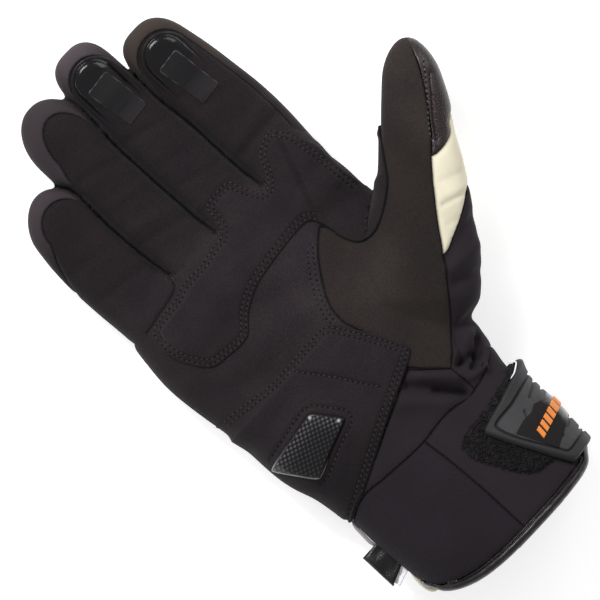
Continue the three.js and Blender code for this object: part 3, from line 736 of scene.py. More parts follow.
# Tints of a finish where it is dark, light or worn to olive
COOL = (1.0, 1.0, 1.05)
WARM = (1.01, 1.02, 0.94)
OLIVE = (1.08, 1.06, 0.84)


class Nodes:
    """A node tree in the making."""

    def __init__(self, tree):
        self.tree = tree

    def add(self, kind, inputs=None, **settings):
        """A new node. Its inputs are linked to the sockets given, or set to the values given."""
        node = self.tree.nodes.new("ShaderNode" + kind)
        for name, value in settings.items():
            setattr(node, name, value)
        for socket, value in (inputs or {}).items():
            if isinstance(value, bpy.types.NodeSocket):
                self.tree.links.new(value, node.inputs[socket])
            else:
                node.inputs[socket].default_value = value
        return node

    def math(self, operation, first, second=0.0):
        return self.add("Math", {0: first, 1: second}, operation=operation).outputs[0]

    def number(self, mask, low=0.0, high=1.0, start=0.0, end=1.0):
        """From low to high while a mask goes from start to end."""
        return self.add("MapRange", {0: mask, 1: start, 2: end, 3: low, 4: high}).outputs[0]


class Look(Nodes):
    """A material in the making: its nodes, wired one after another."""

    def __init__(self, name, base, roughness, **settings):
        self.material = bpy.data.materials.new(name)
        self.material.use_nodes = True
        super().__init__(self.material.node_tree)
        self.shader = self.tree.nodes["Principled BSDF"]
        self.shader.inputs["Base Color"].default_value = (*base, 1)
        self.shader.inputs["Roughness"].default_value = roughness
        for socket, value in settings.items():
            self.shader.inputs[socket.replace("_", " ")].default_value = value
        self.place = self.add("TexCoord").outputs["Object"]
        self.base = base

    def effect(self, shared, **inputs):
        given = {socket.replace("_", " "): value for socket, value in inputs.items()}
        return self.add("Group", {"Place": self.place, **given}, node_tree=shared).outputs

    def tint(self, mask, dark, light):
        """Base colour between a dark, cool shade of the finish and a light, warm one, by a mask."""
        low = tuple(c * dark * part for c, part in zip(self.base, COOL))
        high = tuple(c * light * part for c, part in zip(self.base, WARM))
        return self.blend(mask, (*low, 1), (*high, 1))

    def scaled(self, colour, factor):
        return self.add("VectorMath", {0: colour, 3: factor}, operation="SCALE").outputs[0]

    def mask(self, name):
        """A number kept at each point of the piece."""
        return self.add("Attribute", attribute_name=name).outputs["Fac"]

    def painted_seam_shade(self, colour, depth=0.65):
        """Painted shade: darker where the piece's seam mask is high, in its seams, grooves, slots and
        creases.
        """
        return self.scaled(colour, self.number(self.mask("seam"), 1.0, 1 - depth))

    def blend(self, mask, low, high):
        return self.add("Mix", {0: mask, 6: low, 7: high}, data_type="RGBA").outputs[2]

    def wire(self, socket, name):
        self.tree.links.new(socket, self.shader.inputs[name])
        return self

    def colour(self, socket):
        return self.wire(socket, "Base Color")

    def rough(self, socket):
        return self.wire(socket, "Roughness")

    def bump(self, height, distance):
        node = self.add("Bump", {"Height": height, "Distance": distance * METRES, "Strength": 1.0})
        before = self.shader.inputs["Normal"]
        if before.is_linked:
            self.tree.links.new(before.links[0].from_socket, node.inputs["Normal"])
        return self.wire(node.outputs["Normal"], "Normal")


class Effect(Nodes):
    """A node group that several materials share, fed with a place and some numbers."""

    def __init__(self, name, inputs, outputs):
        super().__init__(bpy.data.node_groups.new(name, "ShaderNodeTree"))
        sockets = self.tree.interface
        sockets.new_socket("Place", in_out="INPUT", socket_type="NodeSocketVector")
        for socket, value in inputs.items():
            made = sockets.new_socket(socket, in_out="INPUT", socket_type="NodeSocketFloat")
            made.default_value = value
        for socket in outputs:
            sockets.new_socket(socket, in_out="OUTPUT", socket_type="NodeSocketFloat")
        self.given = self.tree.nodes.new("NodeGroupInput").outputs
        self.results = self.tree.nodes.new("NodeGroupOutput").inputs

    def give(self, name, socket):
        self.tree.links.new(socket, self.results[name])


def nap_effect():
    """Brushed cloth: soft clouds where the pile lies over, and fine grain."""
    nap = Effect("nap", {"Cloud Size": 14, "Grain Size": 0.5}, ["Cloud", "Grain"])
    for size, out, detail in (("Cloud Size", "Cloud", 4), ("Grain Size", "Grain", 3)):
        scale = nap.math("DIVIDE", 1 / METRES, nap.given[size])
        noise = nap.add("TexNoise", {"Vector": nap.given["Place"], "Scale": scale, "Detail": detail})
        nap.give(out, nap.number(noise.outputs[0], start=0.3, end=0.7))
    return nap.tree


def weave_effect():
    """Fine diagonal ribs of a woven cloth."""
    weave = Effect("weave", {"Pitch": 0.8, "Turn": 0.8}, ["Rib", "Thread"])
    for turn, pitch, out in ((0.0, 1.0, "Rib"), (1.3, 0.6, "Thread")):
        angle = weave.math("ADD", weave.given["Turn"], turn)
        angles = weave.add("CombineXYZ", {2: angle}).outputs[0]
        given = {"Vector": weave.given["Place"], "Rotation": angles}
        turned = weave.add("VectorRotate", given, rotation_type="EULER_XYZ").outputs[0]
        x = weave.add("SeparateXYZ", {0: turned}).outputs[0]
        step = weave.math("DIVIDE", 2 * math.pi / METRES / pitch, weave.given["Pitch"])
        wave = weave.math("SINE", weave.math("MULTIPLY", x, step))
        weave.give(out, weave.number(wave, start=-1.0))
    return weave.tree


def grain_effect():
    """Pebbled leather: cells with fine creases between them."""
    grain = Effect("leather grain", {"Size": 1.1}, ["Pebble", "Wear"])
    place = grain.given["Place"]
    scale = grain.math("DIVIDE", 1 / METRES, grain.given["Size"])
    cells = grain.add("TexVoronoi", {"Vector": place, "Scale": scale}, feature="DISTANCE_TO_EDGE")
    grain.give("Pebble", grain.number(cells.outputs[0], end=0.25))
    noise = grain.add("TexNoise", {"Vector": place, "Scale": 120.0, "Detail": 5.0})
    grain.give("Wear", grain.number(noise.outputs[0], start=0.35, end=0.7))
    return grain.tree


NAP = nap_effect()
WEAVE = weave_effect()
GRAIN = grain_effect()


def brushed(name, base, cloud=0.14, grain=0.3, pile=0.1, cloud_size=16.0, painted_light_and_shade=False):
    look = Look(name, base, 0.95, Sheen_Weight=0.05, Sheen_Roughness=0.5, Specular_IOR_Level=0.12)
    nap = look.effect(NAP, Cloud_Size=cloud_size, Grain_Size=0.55)
    shade = look.tint(nap["Cloud"], 1 - cloud, 1 + cloud)
    shade = look.scaled(shade, look.number(nap["Grain"], 1 - grain, 1 + grain))
    # Painted light and shade: the piece's brightness mask scales the colour
    if painted_light_and_shade:
        shade = look.scaled(shade, look.mask("painted_light_and_shade"))
    return look.colour(look.painted_seam_shade(shade)).bump(nap["Grain"], pile).material


def woven(name, base, pitch, turn, contrast=0.2, relief=0.08, painted_light_and_shade=False):
    look = Look(name, base, 0.9, Sheen_Weight=0.04, Sheen_Roughness=0.4, Specular_IOR_Level=0.15)
    cloth = look.effect(WEAVE, Pitch=pitch, Turn=turn)
    nap = look.effect(NAP, Cloud_Size=20.0, Grain_Size=0.7)
    ribs = look.math("MULTIPLY", cloth["Rib"], cloth["Thread"])
    shade = look.tint(ribs, 1 - contrast, 1 + contrast)
    shade = look.scaled(shade, look.number(nap["Cloud"], 0.9, 1.1))
    # Painted light and shade: the piece's brightness mask scales the colour; the olive tint of the index
    # fingertip's back comes with the same flag
    if painted_light_and_shade:
        shade = look.scaled(shade, look.mask("painted_light_and_shade"))
        olive = look.add("VectorMath", {0: shade, 1: OLIVE}, operation="MULTIPLY").outputs[0]
        shade = look.blend(look.mask("olive"), shade, olive)
    return look.colour(look.painted_seam_shade(shade)).bump(ribs, relief).bump(nap["Grain"], relief * 0.6).material


def leathery(name, base, roughness, size, relief, coat):
    look = Look(name, base, roughness, Coat_Weight=coat, Coat_Roughness=0.2, Specular_IOR_Level=0.3)
    skin = look.effect(GRAIN, Size=size)
    shade = look.painted_seam_shade(look.tint(skin["Wear"], 0.85, 1.2))
    look.rough(look.number(skin["Wear"], roughness * 0.85, min(roughness * 1.25, 1)))
    return look.colour(shade).bump(skin["Pebble"], relief).bump(skin["Wear"], relief * 2).material


def moulded(name, base, roughness, coat=0.0, relief=0.05, gloss=0.4, plate=None, painted_highlight=None):
    """Rubber or plastic. A piece's masks can give its plate a colour of its own, and paint a pale highlight
    along its edge.
    """
    look = Look(name, base, roughness, Coat_Weight=coat, Coat_Roughness=0.1, Specular_IOR_Level=gloss)
    nap = look.effect(NAP, Cloud_Size=9.0, Grain_Size=0.35)
    look.rough(look.number(nap["Cloud"], roughness * 0.85, min(roughness * 1.2, 1)))
    shade = look.painted_seam_shade(look.tint(nap["Cloud"], 0.92, 1.08), 0.8)
    for part, colour in (("plate", plate), ("painted_highlight", painted_highlight)):
        if colour:
            shade = look.blend(look.mask(part), shade, (*colour, 1))
    return look.colour(shade).bump(nap["Grain"], relief).material


def film(name, base, bare):
    """A high gloss film that thins out into the suede below it."""
    look = Look(name, base, 0.2, Coat_Roughness=0.05, Specular_IOR_Level=0.1)
    nap = look.effect(NAP, Cloud_Size=9.0, Grain_Size=0.6)
    broken = look.math("ADD", look.mask("gloss"), look.number(nap["Cloud"], -0.25, 0.25))
    clear = look.number(broken, start=0.25, end=0.85)
    look.rough(look.number(clear, 0.85, 0.2)).wire(look.number(clear, 0.0, 0.5), "Coat Weight")
    shade = look.painted_seam_shade(look.blend(clear, (*bare, 1), (*base, 1)))
    return look.colour(shade).bump(nap["Grain"], 0.03).material


def carbon(name, base, pale, painted_highlight):
    """Glossy plastic over a pale woven pattern of rounded dots, plain along its edge. Painted highlights:
    the dots are paler towards the top edge, and a pale colour marks a line along the lower edge and two
    glints at corners.
    """
    look = Look(name, base, 0.4, Coat_Weight=0.4, Coat_Roughness=0.05, Specular_IOR_Level=0.1)
    turn = (0, 0, math.radians(-18))
    turned = look.add("Mapping", {"Vector": look.place, "Rotation": turn}).outputs[0]
    parts = look.add("SeparateXYZ", {0: turned}).outputs
    waves = [look.math("SINE", look.math("MULTIPLY", part, 2 * math.pi / (pitch * METRES)))
             for part, pitch in zip(parts, (2.7, 2.2))]
    dots = look.number(look.math("MULTIPLY", *waves), start=-0.1, end=0.75)
    field = look.number(look.mask("depth"), start=1.2, end=1.8)
    dots = look.math("MULTIPLY", dots, field)
    shade = look.blend(look.math("MULTIPLY", dots, look.mask("lit")), (*base, 1), (*pale, 1))
    return look.colour(look.blend(look.mask("painted_highlight"), shade, (*painted_highlight, 1))).bump(dots, 0.12).material


MATERIALS = {
    "suede": brushed("palm suede", (0.0215, 0.0170, 0.0195), painted_light_and_shade=True),
    "patch": brushed("patch suede", (0.0185, 0.0145, 0.0175), cloud_size=12.0, painted_light_and_shade=True),
    "softshell": woven("softshell", (0.0200, 0.0155, 0.0190), 0.7, 0.4, contrast=0.12, relief=0.05),
    "fingertip": woven("softshell of the back", (0.0205, 0.0165, 0.0185), 0.7, 0.4, contrast=0.12,
                       relief=0.05, painted_light_and_shade=True),
    "thumb_suede": brushed("thumb suede", (0.0320, 0.0255, 0.0240), cloud_size=22.0, painted_light_and_shade=True),
    "leather": leathery("thumb leather", (0.0200, 0.0115, 0.0125), 0.38, size=1.3, relief=0.09, coat=0.18),
    "binding": leathery("edging leather", (0.0125, 0.0100, 0.0105), 0.36, size=0.8, relief=0.03, coat=0.2),
    "cream": woven("cream fabric", (0.735, 0.685, 0.520), 0.5, 0.3, contrast=0.03, relief=0.03),
    "twill": woven("stretch twill", (0.0190, 0.0150, 0.0195), 0.85, 1.55, contrast=0.3, relief=0.1),
    "gloss": film("gloss film", (0.0055, 0.005, 0.006), (0.0175, 0.0140, 0.0165)),
    # The pale colour along the pad's edge is a painted highlight
    "pad": moulded("tip pad rubber", (0.0115, 0.0115, 0.0130), 0.6, gloss=0.2,
                   plate=(0.0165, 0.0140, 0.0160), painted_highlight=(0.16, 0.16, 0.165)),
    # The slider's pale edge colour is a painted highlight
    "slider": carbon("slider", (0.0060, 0.0054, 0.0062), (0.100, 0.092, 0.104), (0.40, 0.39, 0.41)),
    "rubber": moulded("strap rubber", (0.0200, 0.0185, 0.0205), 0.6, gloss=0.3,
                      plate=(0.0345, 0.0335, 0.0360)),
    "window": film("strap window", (0.0200, 0.0190, 0.0230), (0.0150, 0.0135, 0.0135)),
    "orange": moulded("orange rubber", (0.72, 0.220, 0.035), 0.5, relief=0.02),
    "pile": brushed("loop pile", (0.0165, 0.0145, 0.0165), cloud=0.4, grain=0.6, pile=0.3, cloud_size=2.0),
    "webbing": woven("strap webbing", (0.0180, 0.0160, 0.0185), 1.6, 0.0, contrast=0.35, relief=0.25),
    "tag": leathery("tag leather", (0.0075, 0.0075, 0.0085), 0.36, size=1.0, relief=0.05, coat=0.25),
    "thread": woven("black thread", (0.0370, 0.0325, 0.0360), 0.3, 0.2, contrast=0.2, relief=0.02),
    "leather_thread": moulded("waxed thread", (0.0600, 0.0520, 0.0540), 0.4, coat=0.2, relief=0.01),
    # Near-black painted shade for the needle holes
    "hole_shade": brushed("needle hole", (0.0045, 0.0035, 0.0042), pile=0.02),
    "piping": woven("grey piping", (0.4000, 0.3700, 0.3900), 0.5, 0.2, contrast=0.1, relief=0.03),
    "label": woven("pale tape", (0.95, 0.95, 0.97), 0.5, 0.1, contrast=0.05, relief=0.02),
}


# The soft form that every panel is cut from

def soft_form():
    tubes = bmesh.new()
    hand_tube(tubes)
    for digit in DIGITS.values():
        digit_tube(tubes, digit)
    skin = ("REMESH", {"mode": "VOXEL", "voxel_size": VOXEL})
    form = evaluated(tubes, skin, ("SMOOTH", {"factor": 0.5, "iterations": 5}))
    tubes.free()
    co, out = places(form), normals(form)
    rise = np.zeros(len(co))
    for fold in FOLDS:
        rise += fold.height * bell(away(co, [fold[:2], fold[2:4]]), fold.width)
    up = np.clip(out[:, 2] * 1.5 + 0.4, 0, 1)
    co = co + out * (rise * up)[:, None]
    low, high = NOTCH["y"] - 6, NOTCH["y"] + 6
    narrow = bell(co[:, 0] - NOTCH["x"], NOTCH["width"])
    co[:, 1] -= NOTCH["deeper"] * narrow * ramp(co[:, 1], low, low + 3) * ramp(co[:, 1], high, high - 4)
    move(form, co)
    noted(form, "height", co[:, 2])
    co[:, 2] -= SLOT_DEPTH * bell(nearest(co, SLOTS), SLOT_WIDTH) * ramp(co[:, 2], 12, 18)
    move(form, co)
    keep_normals(form)
    return form


def closed(line, corners):
    """An outline of a smooth line and the corners that close it."""
    return [tuple(p) for p in smooth_line(line)] + list(corners)


def mouth(lift):
    """Outline round the glove, from its mouth up or from a line that far above it."""
    return [(x, y + lift) for x, y in smooth_line(RIM)] + CLOSING["mouth"]


def finger_fields(bm):
    """Positive on the front panels of the fingers."""
    co = places(bm)
    layer = bm.verts.layers.float["height"]
    height = np.array([v[layer] for v in bm.verts])
    best = np.full(len(co), -FAR)
    for name in FINGER_FRONTS:
        level = read(DIGITS[name].rows, "z", co[:, 1]) - FRONT_DROP
        best = np.maximum(best, np.minimum(inside(co, finger_front(name)), height - level))
    return best


FORM = soft_form()
GLOVE = take(FORM, inside(places(FORM), mouth(0)), keep_rest=False)


def sewn_panels():
    rest = take(GLOVE, inside(places(GLOVE), mouth(RIM_HEIGHT)), keep_rest=False)
    life_line, thumb_seam = closed(LIFE_LINE, []), closed(THUMB_SEAM, [])
    fold = thumb_seam[-1]
    cuff = take(rest, inside(places(rest), closed(CUFF_SEAM, CLOSING["cuff"])))
    stretch = take(cuff, within(cuff, closed(STRETCH_EDGE, CLOSING["stretch"]), PALM_Z))
    palm_outline = CLOSING["palm_wrist"] + life_line[::-1] + CLOSING["palm_fingers"]
    palm = take(rest, np.maximum(within(rest, palm_outline, PALM_Z), finger_fields(rest)))
    outlines = {
        "thumb_panel": (life_line + [fold] + thumb_seam[::-1][1:] + CLOSING["thumb_web"], THUMB_Z),
        "wrist_gusset": (CLOSING["gusset_heel"] + [fold] + CLOSING["gusset_cuff"], PALM_Z),
        "thumb_leather": (closed(LEATHER_EDGE, CLOSING["leather"]), -HIGH),
        "thumb_cream_panel": (closed(CREAM_EDGE, CLOSING["cream"]), -HIGH),
        "thumb_side_panel": (thumb_seam[len(thumb_seam) // 2:] + CLOSING["thumb_side"], 10),
    }
    cut = {"palm_panel": palm}
    for name, (outline, low) in outlines.items():
        cut[name] = take(rest, within(rest, outline, low))
    return cut | {"hand_back": rest, "cuff_panel": cuff, "cuff_stretch_panel": stretch}


PANEL_LOOKS = {
    "palm_panel": ("suede", "suede"),
    "thumb_panel": ("thumb_suede", "thumb_suede"),
    "wrist_gusset": ("softshell", "softshell"),
    "thumb_leather": ("leather", "leather"),
    "thumb_cream_panel": ("cream", "cream_fabric"),
    "thumb_side_panel": ("softshell", "softshell"),
    "hand_back": ("fingertip", "softshell"),
    "cuff_panel": ("softshell", "softshell"),
    "cuff_stretch_panel": ("twill", "stretch_twill"),
}
LIFE_ROWS = [beside(LIFE_LINE, -distance) for distance in (2.0, 4.2)]
CHANNELS = {
    "palm_panel": [row[(row[:, 1] < 21) & (row[:, 1] > -9)] for row in LIFE_ROWS],
    "wrist_gusset": [smooth_line([(19.6, -45.8), (24, -50.2), (29.6, -55.6)])],
    "cuff_panel": [smooth_line([(3.4, -69), (5.2, -82), (6.2, -100), (6.4, -119)])],
    "thumb_leather": [smooth_line([(116, 39.5), (110.4, 33), (103.6, 25.6), (96.6, 18), (93.4, 13.6)])],
}
# Seams inside a panel
INNER_SEAMS = {
    "palm_panel": [smooth_line([(-20.5, 54), (-22, 50), (-25, 48.2), (-34, 46.8), (-44, 45)])],
    "thumb_leather": [smooth_line([(113, 32.6), (105.6, 24.6), (98.7, 17.2), (95, 12)])],
}
# Close rows of stitches across the ends of the slots between the fingers
TACKS = [(-20.2, 54.4, -0.6), (5.8, 53.4, 0.4), (32.6, 52.6, 0.6)]
BAR_TACKS = [
    smooth_line([(x - 2.4, y - down), (x + 2.4, y - down + lean)], step=0.5)
    for x, y, lean in TACKS for down in (0, 1.1, 2.2)
]


def painted_brightness(bm, name):
    """Painted light and shade, as a factor on the cloth's colour: the palm lighter than the fingers, the
    heel patch darker towards the wrist, the back paler at the tips.
    """
    x, y = places(bm)[:, :2].T
    if name == "thumb_panel":
        return 0.68 + 0.34 * bell(x - 34, 17) * bell(y + 6, 15) + 0.28 * ramp(x, 84, 96)
    if name == "heel_patch":
        return 1 - 0.38 * ramp(y, -42, -54)
    if name == "palm_patch":
        return 1 - 0.15 * ramp(x, 20, 32) - 0.15 * ramp(x, -4, -16) * ramp(y, 32, 24)
    if name == "palm_panel":
        return 0.70 + 0.20 * ramp(y, 66, 52) + 0.42 * bell(x - 22, 17) * bell(y - 12, 26)
    # Painted sheen: the backs of the fingers paler at the tips, most of all on the middle finger
    tips = ramp(y, 90, 104) * (x < 62)
    noted(bm, "olive", tips * (x > 31))
    return 1.0 + tips * (1.0 + 1.2 * bell(x - 18, 9, 4))


for panel_name, cut_mesh in sewn_panels().items():
    look_name, slot_name = PANEL_LOOKS[panel_name]
    panel(cut_mesh, INNER_SEAMS.get(panel_name, ()))
    # Painted light and shade on the palm, the thumb and the back of the hand
    if panel_name in ("palm_panel", "thumb_panel", "hand_back"):
        noted(cut_mesh, "painted_light_and_shade", painted_brightness(cut_mesh, panel_name))
    if panel_name in CHANNELS:
        grooved(cut_mesh, CHANNELS[panel_name], 0.7, 0.35)
    piece(cut_mesh, panel_name + "_cloth", look_name, [panel_name], carries=True)


# Reinforcements of the palm

def above_cuff(co):
    """Positive on the fingers' side of the cuff seam."""
    return -inside(co, closed(CUFF_SEAM, CLOSING["cuff"]))


def reinforcement(name, outline, rows, height, flush, keep=None):
    """A double-stitched patch: a crisp turned edge, and a thin one along the flush line, with shade painted
    along its turned edge and its rows of stitches.
    """
    bm = region(outline_through(outline), PALM_Z, evened=12)
    if keep:
        bm = take(bm, keep(places(bm)), keep_rest=False)
    refine(bm, 1.4)
    d = edge_distance(bm)
    thin = ramp(away(places(bm), flush), 0, 5) ** 1.5
    edge = (0.25 + 0.75 * thin) * rolled(d, 0.8)
    raised(bm, -0.4 + (height * np.maximum(thin, 0.2) + 0.4) * edge + 0.5 * rolled(d - 2, 5))
    grooved(bm, rows, 0.8, 0.6)
    # Painted shade along the patch's turned edge and its grooved rows
    sewn = 0.35 * bell(nearest(places(bm), rows), 0.6)
    noted(bm, "seam", np.maximum(bell(d, 0.5) * (0.3 + 0.7 * thin), sewn))
    # Painted light and shade on the patch's suede
    noted(bm, "painted_light_and_shade", painted_brightness(bm, name))
    piece(bm, name + "_cloth", "patch", [name], thickness=height, carries=True)
    sew(name, rows)


STITCH_DEPTHS = (1.3, 3.3)  # of the two rows round a patch
INDEX_ROW = [(52, 64), (56, 57), (57.4, 47), (58.4, 36), (59.2, 24)]
HEEL_ROW = [(-15, -8), (-11, -14), (-8, -18), (-4, -24), (0, -31), (3, -36), (5.4, -39.4)]


def palm_patch():
    rows = []
    for depth in STITCH_DEPTHS:
        line = inset(PALM_PATCH, depth)
        rows.append(line[(line[:, 0] < 53) & ~((line[:, 0] > 38) & (line[:, 1] < 27))])
    rows += [beside(INDEX_ROW, -depth) for depth in (0, 2.0)]
    reinforcement("palm_patch", PALM_PATCH, rows, 1.2, PALM_PATCH[:24])


def heel_patch():
    rows = []
    for depth in STITCH_DEPTHS:
        line = inset(HEEL_PATCH, depth)
        rows.append(line[(line[:, 0] > -50) & (above_cuff(line) > 2)])
    rows.append(smooth_line(HEEL_ROW))
    slider = smooth_line(SLIDER, closed=True)
    ring = beside([*slider, slider[0]], 2.4)
    rows.append(ring[(ring[:, 0] > -48.6) & ~((ring[:, 0] < -40) & (ring[:, 1] < -33))])
    reinforcement("heel_patch", HEEL_PATCH, rows, 1.3, HEEL_PATCH[:3], keep=above_cuff)


SLIDER_PROFILE = [(0, 0.8), (0.5, 2.2), (1.4, 3.0), (2.0, 3.1), (6.0, 3.6)]
GLINTS = [(-23.4, -27.2), (-16.2, -36.6)]  # where two corners of the slider's edge shine


def palm_slider():
    outline = outline_through(SLIDER, 0.6)
    bm = region(outline, PALM_Z, cuts=2)
    depth = terraced(bm, outline, SLIDER_PROFILE)
    noted(bm, "depth", depth)
    # Painted highlight: the dots paler near the upper edges, a pale line along the lower-left edge and two
    # glints at corners
    top = away(places(bm), [(-47, -29.4), (-22, -25.2), (-14, -37.6)])
    noted(bm, "lit", 0.25 + 0.75 * bell(top, 4.5))
    x, y = places(bm)[:, :2].T
    foot = ramp(x + 0.8 * (y + 40), -34, -40)
    glints = [bell((x - a) ** 2 + (y - b) ** 2, 0.5) for a, b in GLINTS]
    noted(bm, "painted_highlight", np.maximum(0.8 * foot * bell(depth - 0.5, 0.22), np.max(glints, axis=0)))
    piece(bm, "slider_shell", "slider", ["palm_slider"], thickness=1.2, carries=True)


# Covers and pads of two fingertips

TipCover = namedtuple("TipCover", "left right bottom top pad_left pad_right pad_bottom pad_top")
TIP_COVERS = {
    "middle": TipCover(6.8, 28.4, 112.0, 141.0, 12.6, 24.2, 108.1, 130.5),
    "index": TipCover(33.6, 55.4, 100.0, 127.0, 39.4, 50.4, 92.2, 115.8),
}
COVER_PROFILE = [
    (0, -0.4), (0.4, 0.3), (0.8, 0.55), (1.4, 0.5), (1.8, 0.15), (2.4, 0.75), (3.4, 1.3), (5.0, 1.6),
    (9, 1.7),
]
PAD_PROFILE = [(0, -0.2), (0.4, 0.35), (0.8, 0.3)]
PAD_CORNER = 0.8
PAD_TURN = 5.5  # degrees


def tip_cover(name, tip):
    middle, half = (tip.left + tip.right) / 2, (tip.right - tip.left) / 2
    top = tip.top - half
    arch = [(middle + half * math.cos(a), top + half * math.sin(a)) for a in np.linspace(0, math.pi, 25)]
    bm = region(arch + [(tip.left, tip.bottom), (tip.right, tip.bottom)], PALM_Z - 4, cuts=2)
    depth = inside(places(bm), arch + [(tip.left, -HIGH), (tip.right, -HIGH)])
    y = places(bm)[:, 1]
    fade = ramp(y, tip.bottom, tip.bottom + 12) ** 0.8
    raised(bm, height_at(depth, COVER_PROFILE) * fade - 0.3 * bell(y - tip.bottom, 1.5))
    noted(bm, "gloss", fade * (0.35 + 0.65 * ramp(depth, 1.4, 2.0)))
    # Painted shade along the film's groove and its edge
    noted(bm, "seam", (bell(depth - 1.75, 0.3) + bell(depth, 0.35)) * fade)
    piece(bm, name + "_tip_film", "gloss", [name + "_tip_cover"], thickness=0.8, carries=True)


def tip_pad(name, tip):
    left, right, bottom, top = tip.pad_left, tip.pad_right, tip.pad_bottom, tip.pad_top
    cut = PAD_CORNER
    corners = [(left + cut, bottom), (right - cut, bottom), (right, bottom + cut), (right, top - cut)]
    corners += [(right - cut, top), (left + cut, top), (left, top - cut), (left, bottom + cut)]
    turn = Matrix.Rotation(math.radians(PAD_TURN), 2)
    centre = Vector(((left + right) / 2, (bottom + top) / 2))
    outline = [tuple(turn @ (Vector(corner) - centre) + centre) for corner in corners]
    bm = region(outline, PALM_Z - 4, cuts=2)
    depth = terraced(bm, outline, PAD_PROFILE)
    x, y = places(bm)[:, :2].T
    raised(bm, 1.6 * eased(ramp(y, tip.bottom, tip.bottom + 12)))
    # Painted highlight: a pale, broken line along the pad's upper edges and down its right side, where the
    # raised border catches the light
    right_side = 0.8 * (x > centre.x + 2) * ramp(y, bottom + 1, bottom + 3)
    framed = ramp(y, centre.y, centre.y + 2)
    broken = 0.55 + 0.45 * np.sin(x * 1.7 + y * 1.1)
    noted(bm, "painted_highlight", bell(depth, 0.35) * np.maximum(framed, right_side) * broken)
    noted(bm, "plate", ramp(y, bottom + 11, bottom + 2))
    piece(bm, name + "_tip_touch_pad", "pad", [name + "_tip_pad"], thickness=0.8, carries=True)


# Wrist closure

TAB_GROOVES = [
    [(36.4, -93.6), (38.6, -89.4)], [(42.0, -107.4), (43.6, -103.6)], [(44, -87.0), (52, -83.4)],
    [(46, -106.4), (56, -102.6)], [(50, -88.6), (58, -84.6)], [(49, -111), (58, -108)],
]
MARK = {
    "left": 35.2, "right": 51.4, "left_y": -102.8, "right_y": -98.4, "height": 4.8, "bars": 6, "gap": 0.55,
    "slant": 0.5,
}
LOOPS = 4200
STRAP_Z = 11  # the strap end's lowest height
TAB_PROFILE = [(0, 0.0), (0.35, 1.3), (0.9, 2.2), (1.5, 2.5)]
RECESS_PROFILE = [(0, 0.0), (0.4, -1.0), (0.9, -1.0), (1.3, -0.45)]
WINDOW_PROFILE = [(0, 0.0), (0.3, 1.0), (3, 1.2)]
BAR_PROFILE = [(0, 0.0), (0.25, 0.9), (0.5, 1.0)]


def proud(bm):
    """The strap end stands off the cuff at its upper corner."""
    raised(bm, 3.0 * bell(np.maximum(-73 - places(bm)[:, 1], 0), 5))


def strap_end():
    outline, recess = outline_through(STRAP_TAB, FINE_STEP), outline_through(STRAP_RECESS, FINE_STEP)
    bm = region(outline, STRAP_Z, cuts=2, lift=1.4)
    stepped(bm, recess, RECESS_PROFILE)
    terraced(bm, outline, TAB_PROFILE)
    sunk = inside(places(bm), recess)
    raised(bm, height_at(sunk, RECESS_PROFILE))
    grooved(bm, TAB_GROOVES, 0.55, 1.1)
    proud(bm)
    cuts = nearest(places(bm), TAB_GROOVES)
    # Painted shade round the edge of the recess and in the grooves
    noted(bm, "seam", np.maximum(bell(sunk - 0.65, 0.4), bell(cuts, 0.5)))
    noted(bm, "plate", ramp(sunk, 1.1, 1.4))
    piece(bm, "strap_end_moulding", "rubber", ["strap_tab"], thickness=2.2, carries=True)


def strap_window():
    bm = region(STRAP_WINDOW, STRAP_Z, cuts=2, lift=2.6)
    terraced(bm, STRAP_WINDOW, WINDOW_PROFILE)
    noted(bm, "gloss", ramp(places(bm)[:, 0], 45.5, 49))
    proud(bm)
    piece(bm, "strap_end_window", "window", [], thickness=0.8, carries=True)


def strap_bars():
    """Plain slanted bars on the strap end."""
    left, right, slant, height = MARK["left"], MARK["right"], MARK["slant"], MARK["height"]
    width = (right - left + MARK["gap"]) / MARK["bars"]
    rise = (MARK["right_y"] - MARK["left_y"]) / (right - left)
    bars = bmesh.new()
    for n in range(MARK["bars"]):
        x0 = left + n * width
        x1 = x0 + width - MARK["gap"]
        y0, y1 = (MARK["left_y"] + rise * (x - left) for x in (x0, x1))
        outline = [(x0, y0), (x1, y1), (x1 + slant, y1 + height), (x0 + slant, y0 + height)]
        bar = region(outline, STRAP_Z, cuts=2, lift=3.4)
        terraced(bar, outline, BAR_PROFILE)
        add_mesh(bars, mesh_of(bar))
        bar.free()
    piece(bars, "strap_end_bars", "orange", ["strap_mark"], thickness=0.9)


def pile_loop():
    """Most of a thin ring, as one loop of the pile."""
    loop = bmesh.new()
    across = Matrix.Translation((1, 0, 0)) @ Matrix.Rotation(math.pi / 2, 4, "X")
    bmesh.ops.create_circle(loop, segments=3, radius=0.2, matrix=across)
    bmesh.ops.spin(loop, geom=loop.edges[:], cent=(0, 0, 0), axis=(0, 0, 1), angle=math.pi * 1.2, steps=6)
    bmesh.ops.holes_fill(loop, edges=[e for e in loop.edges if e.is_boundary])
    bmesh.ops.recalc_face_normals(loop, faces=loop.faces)
    return loop


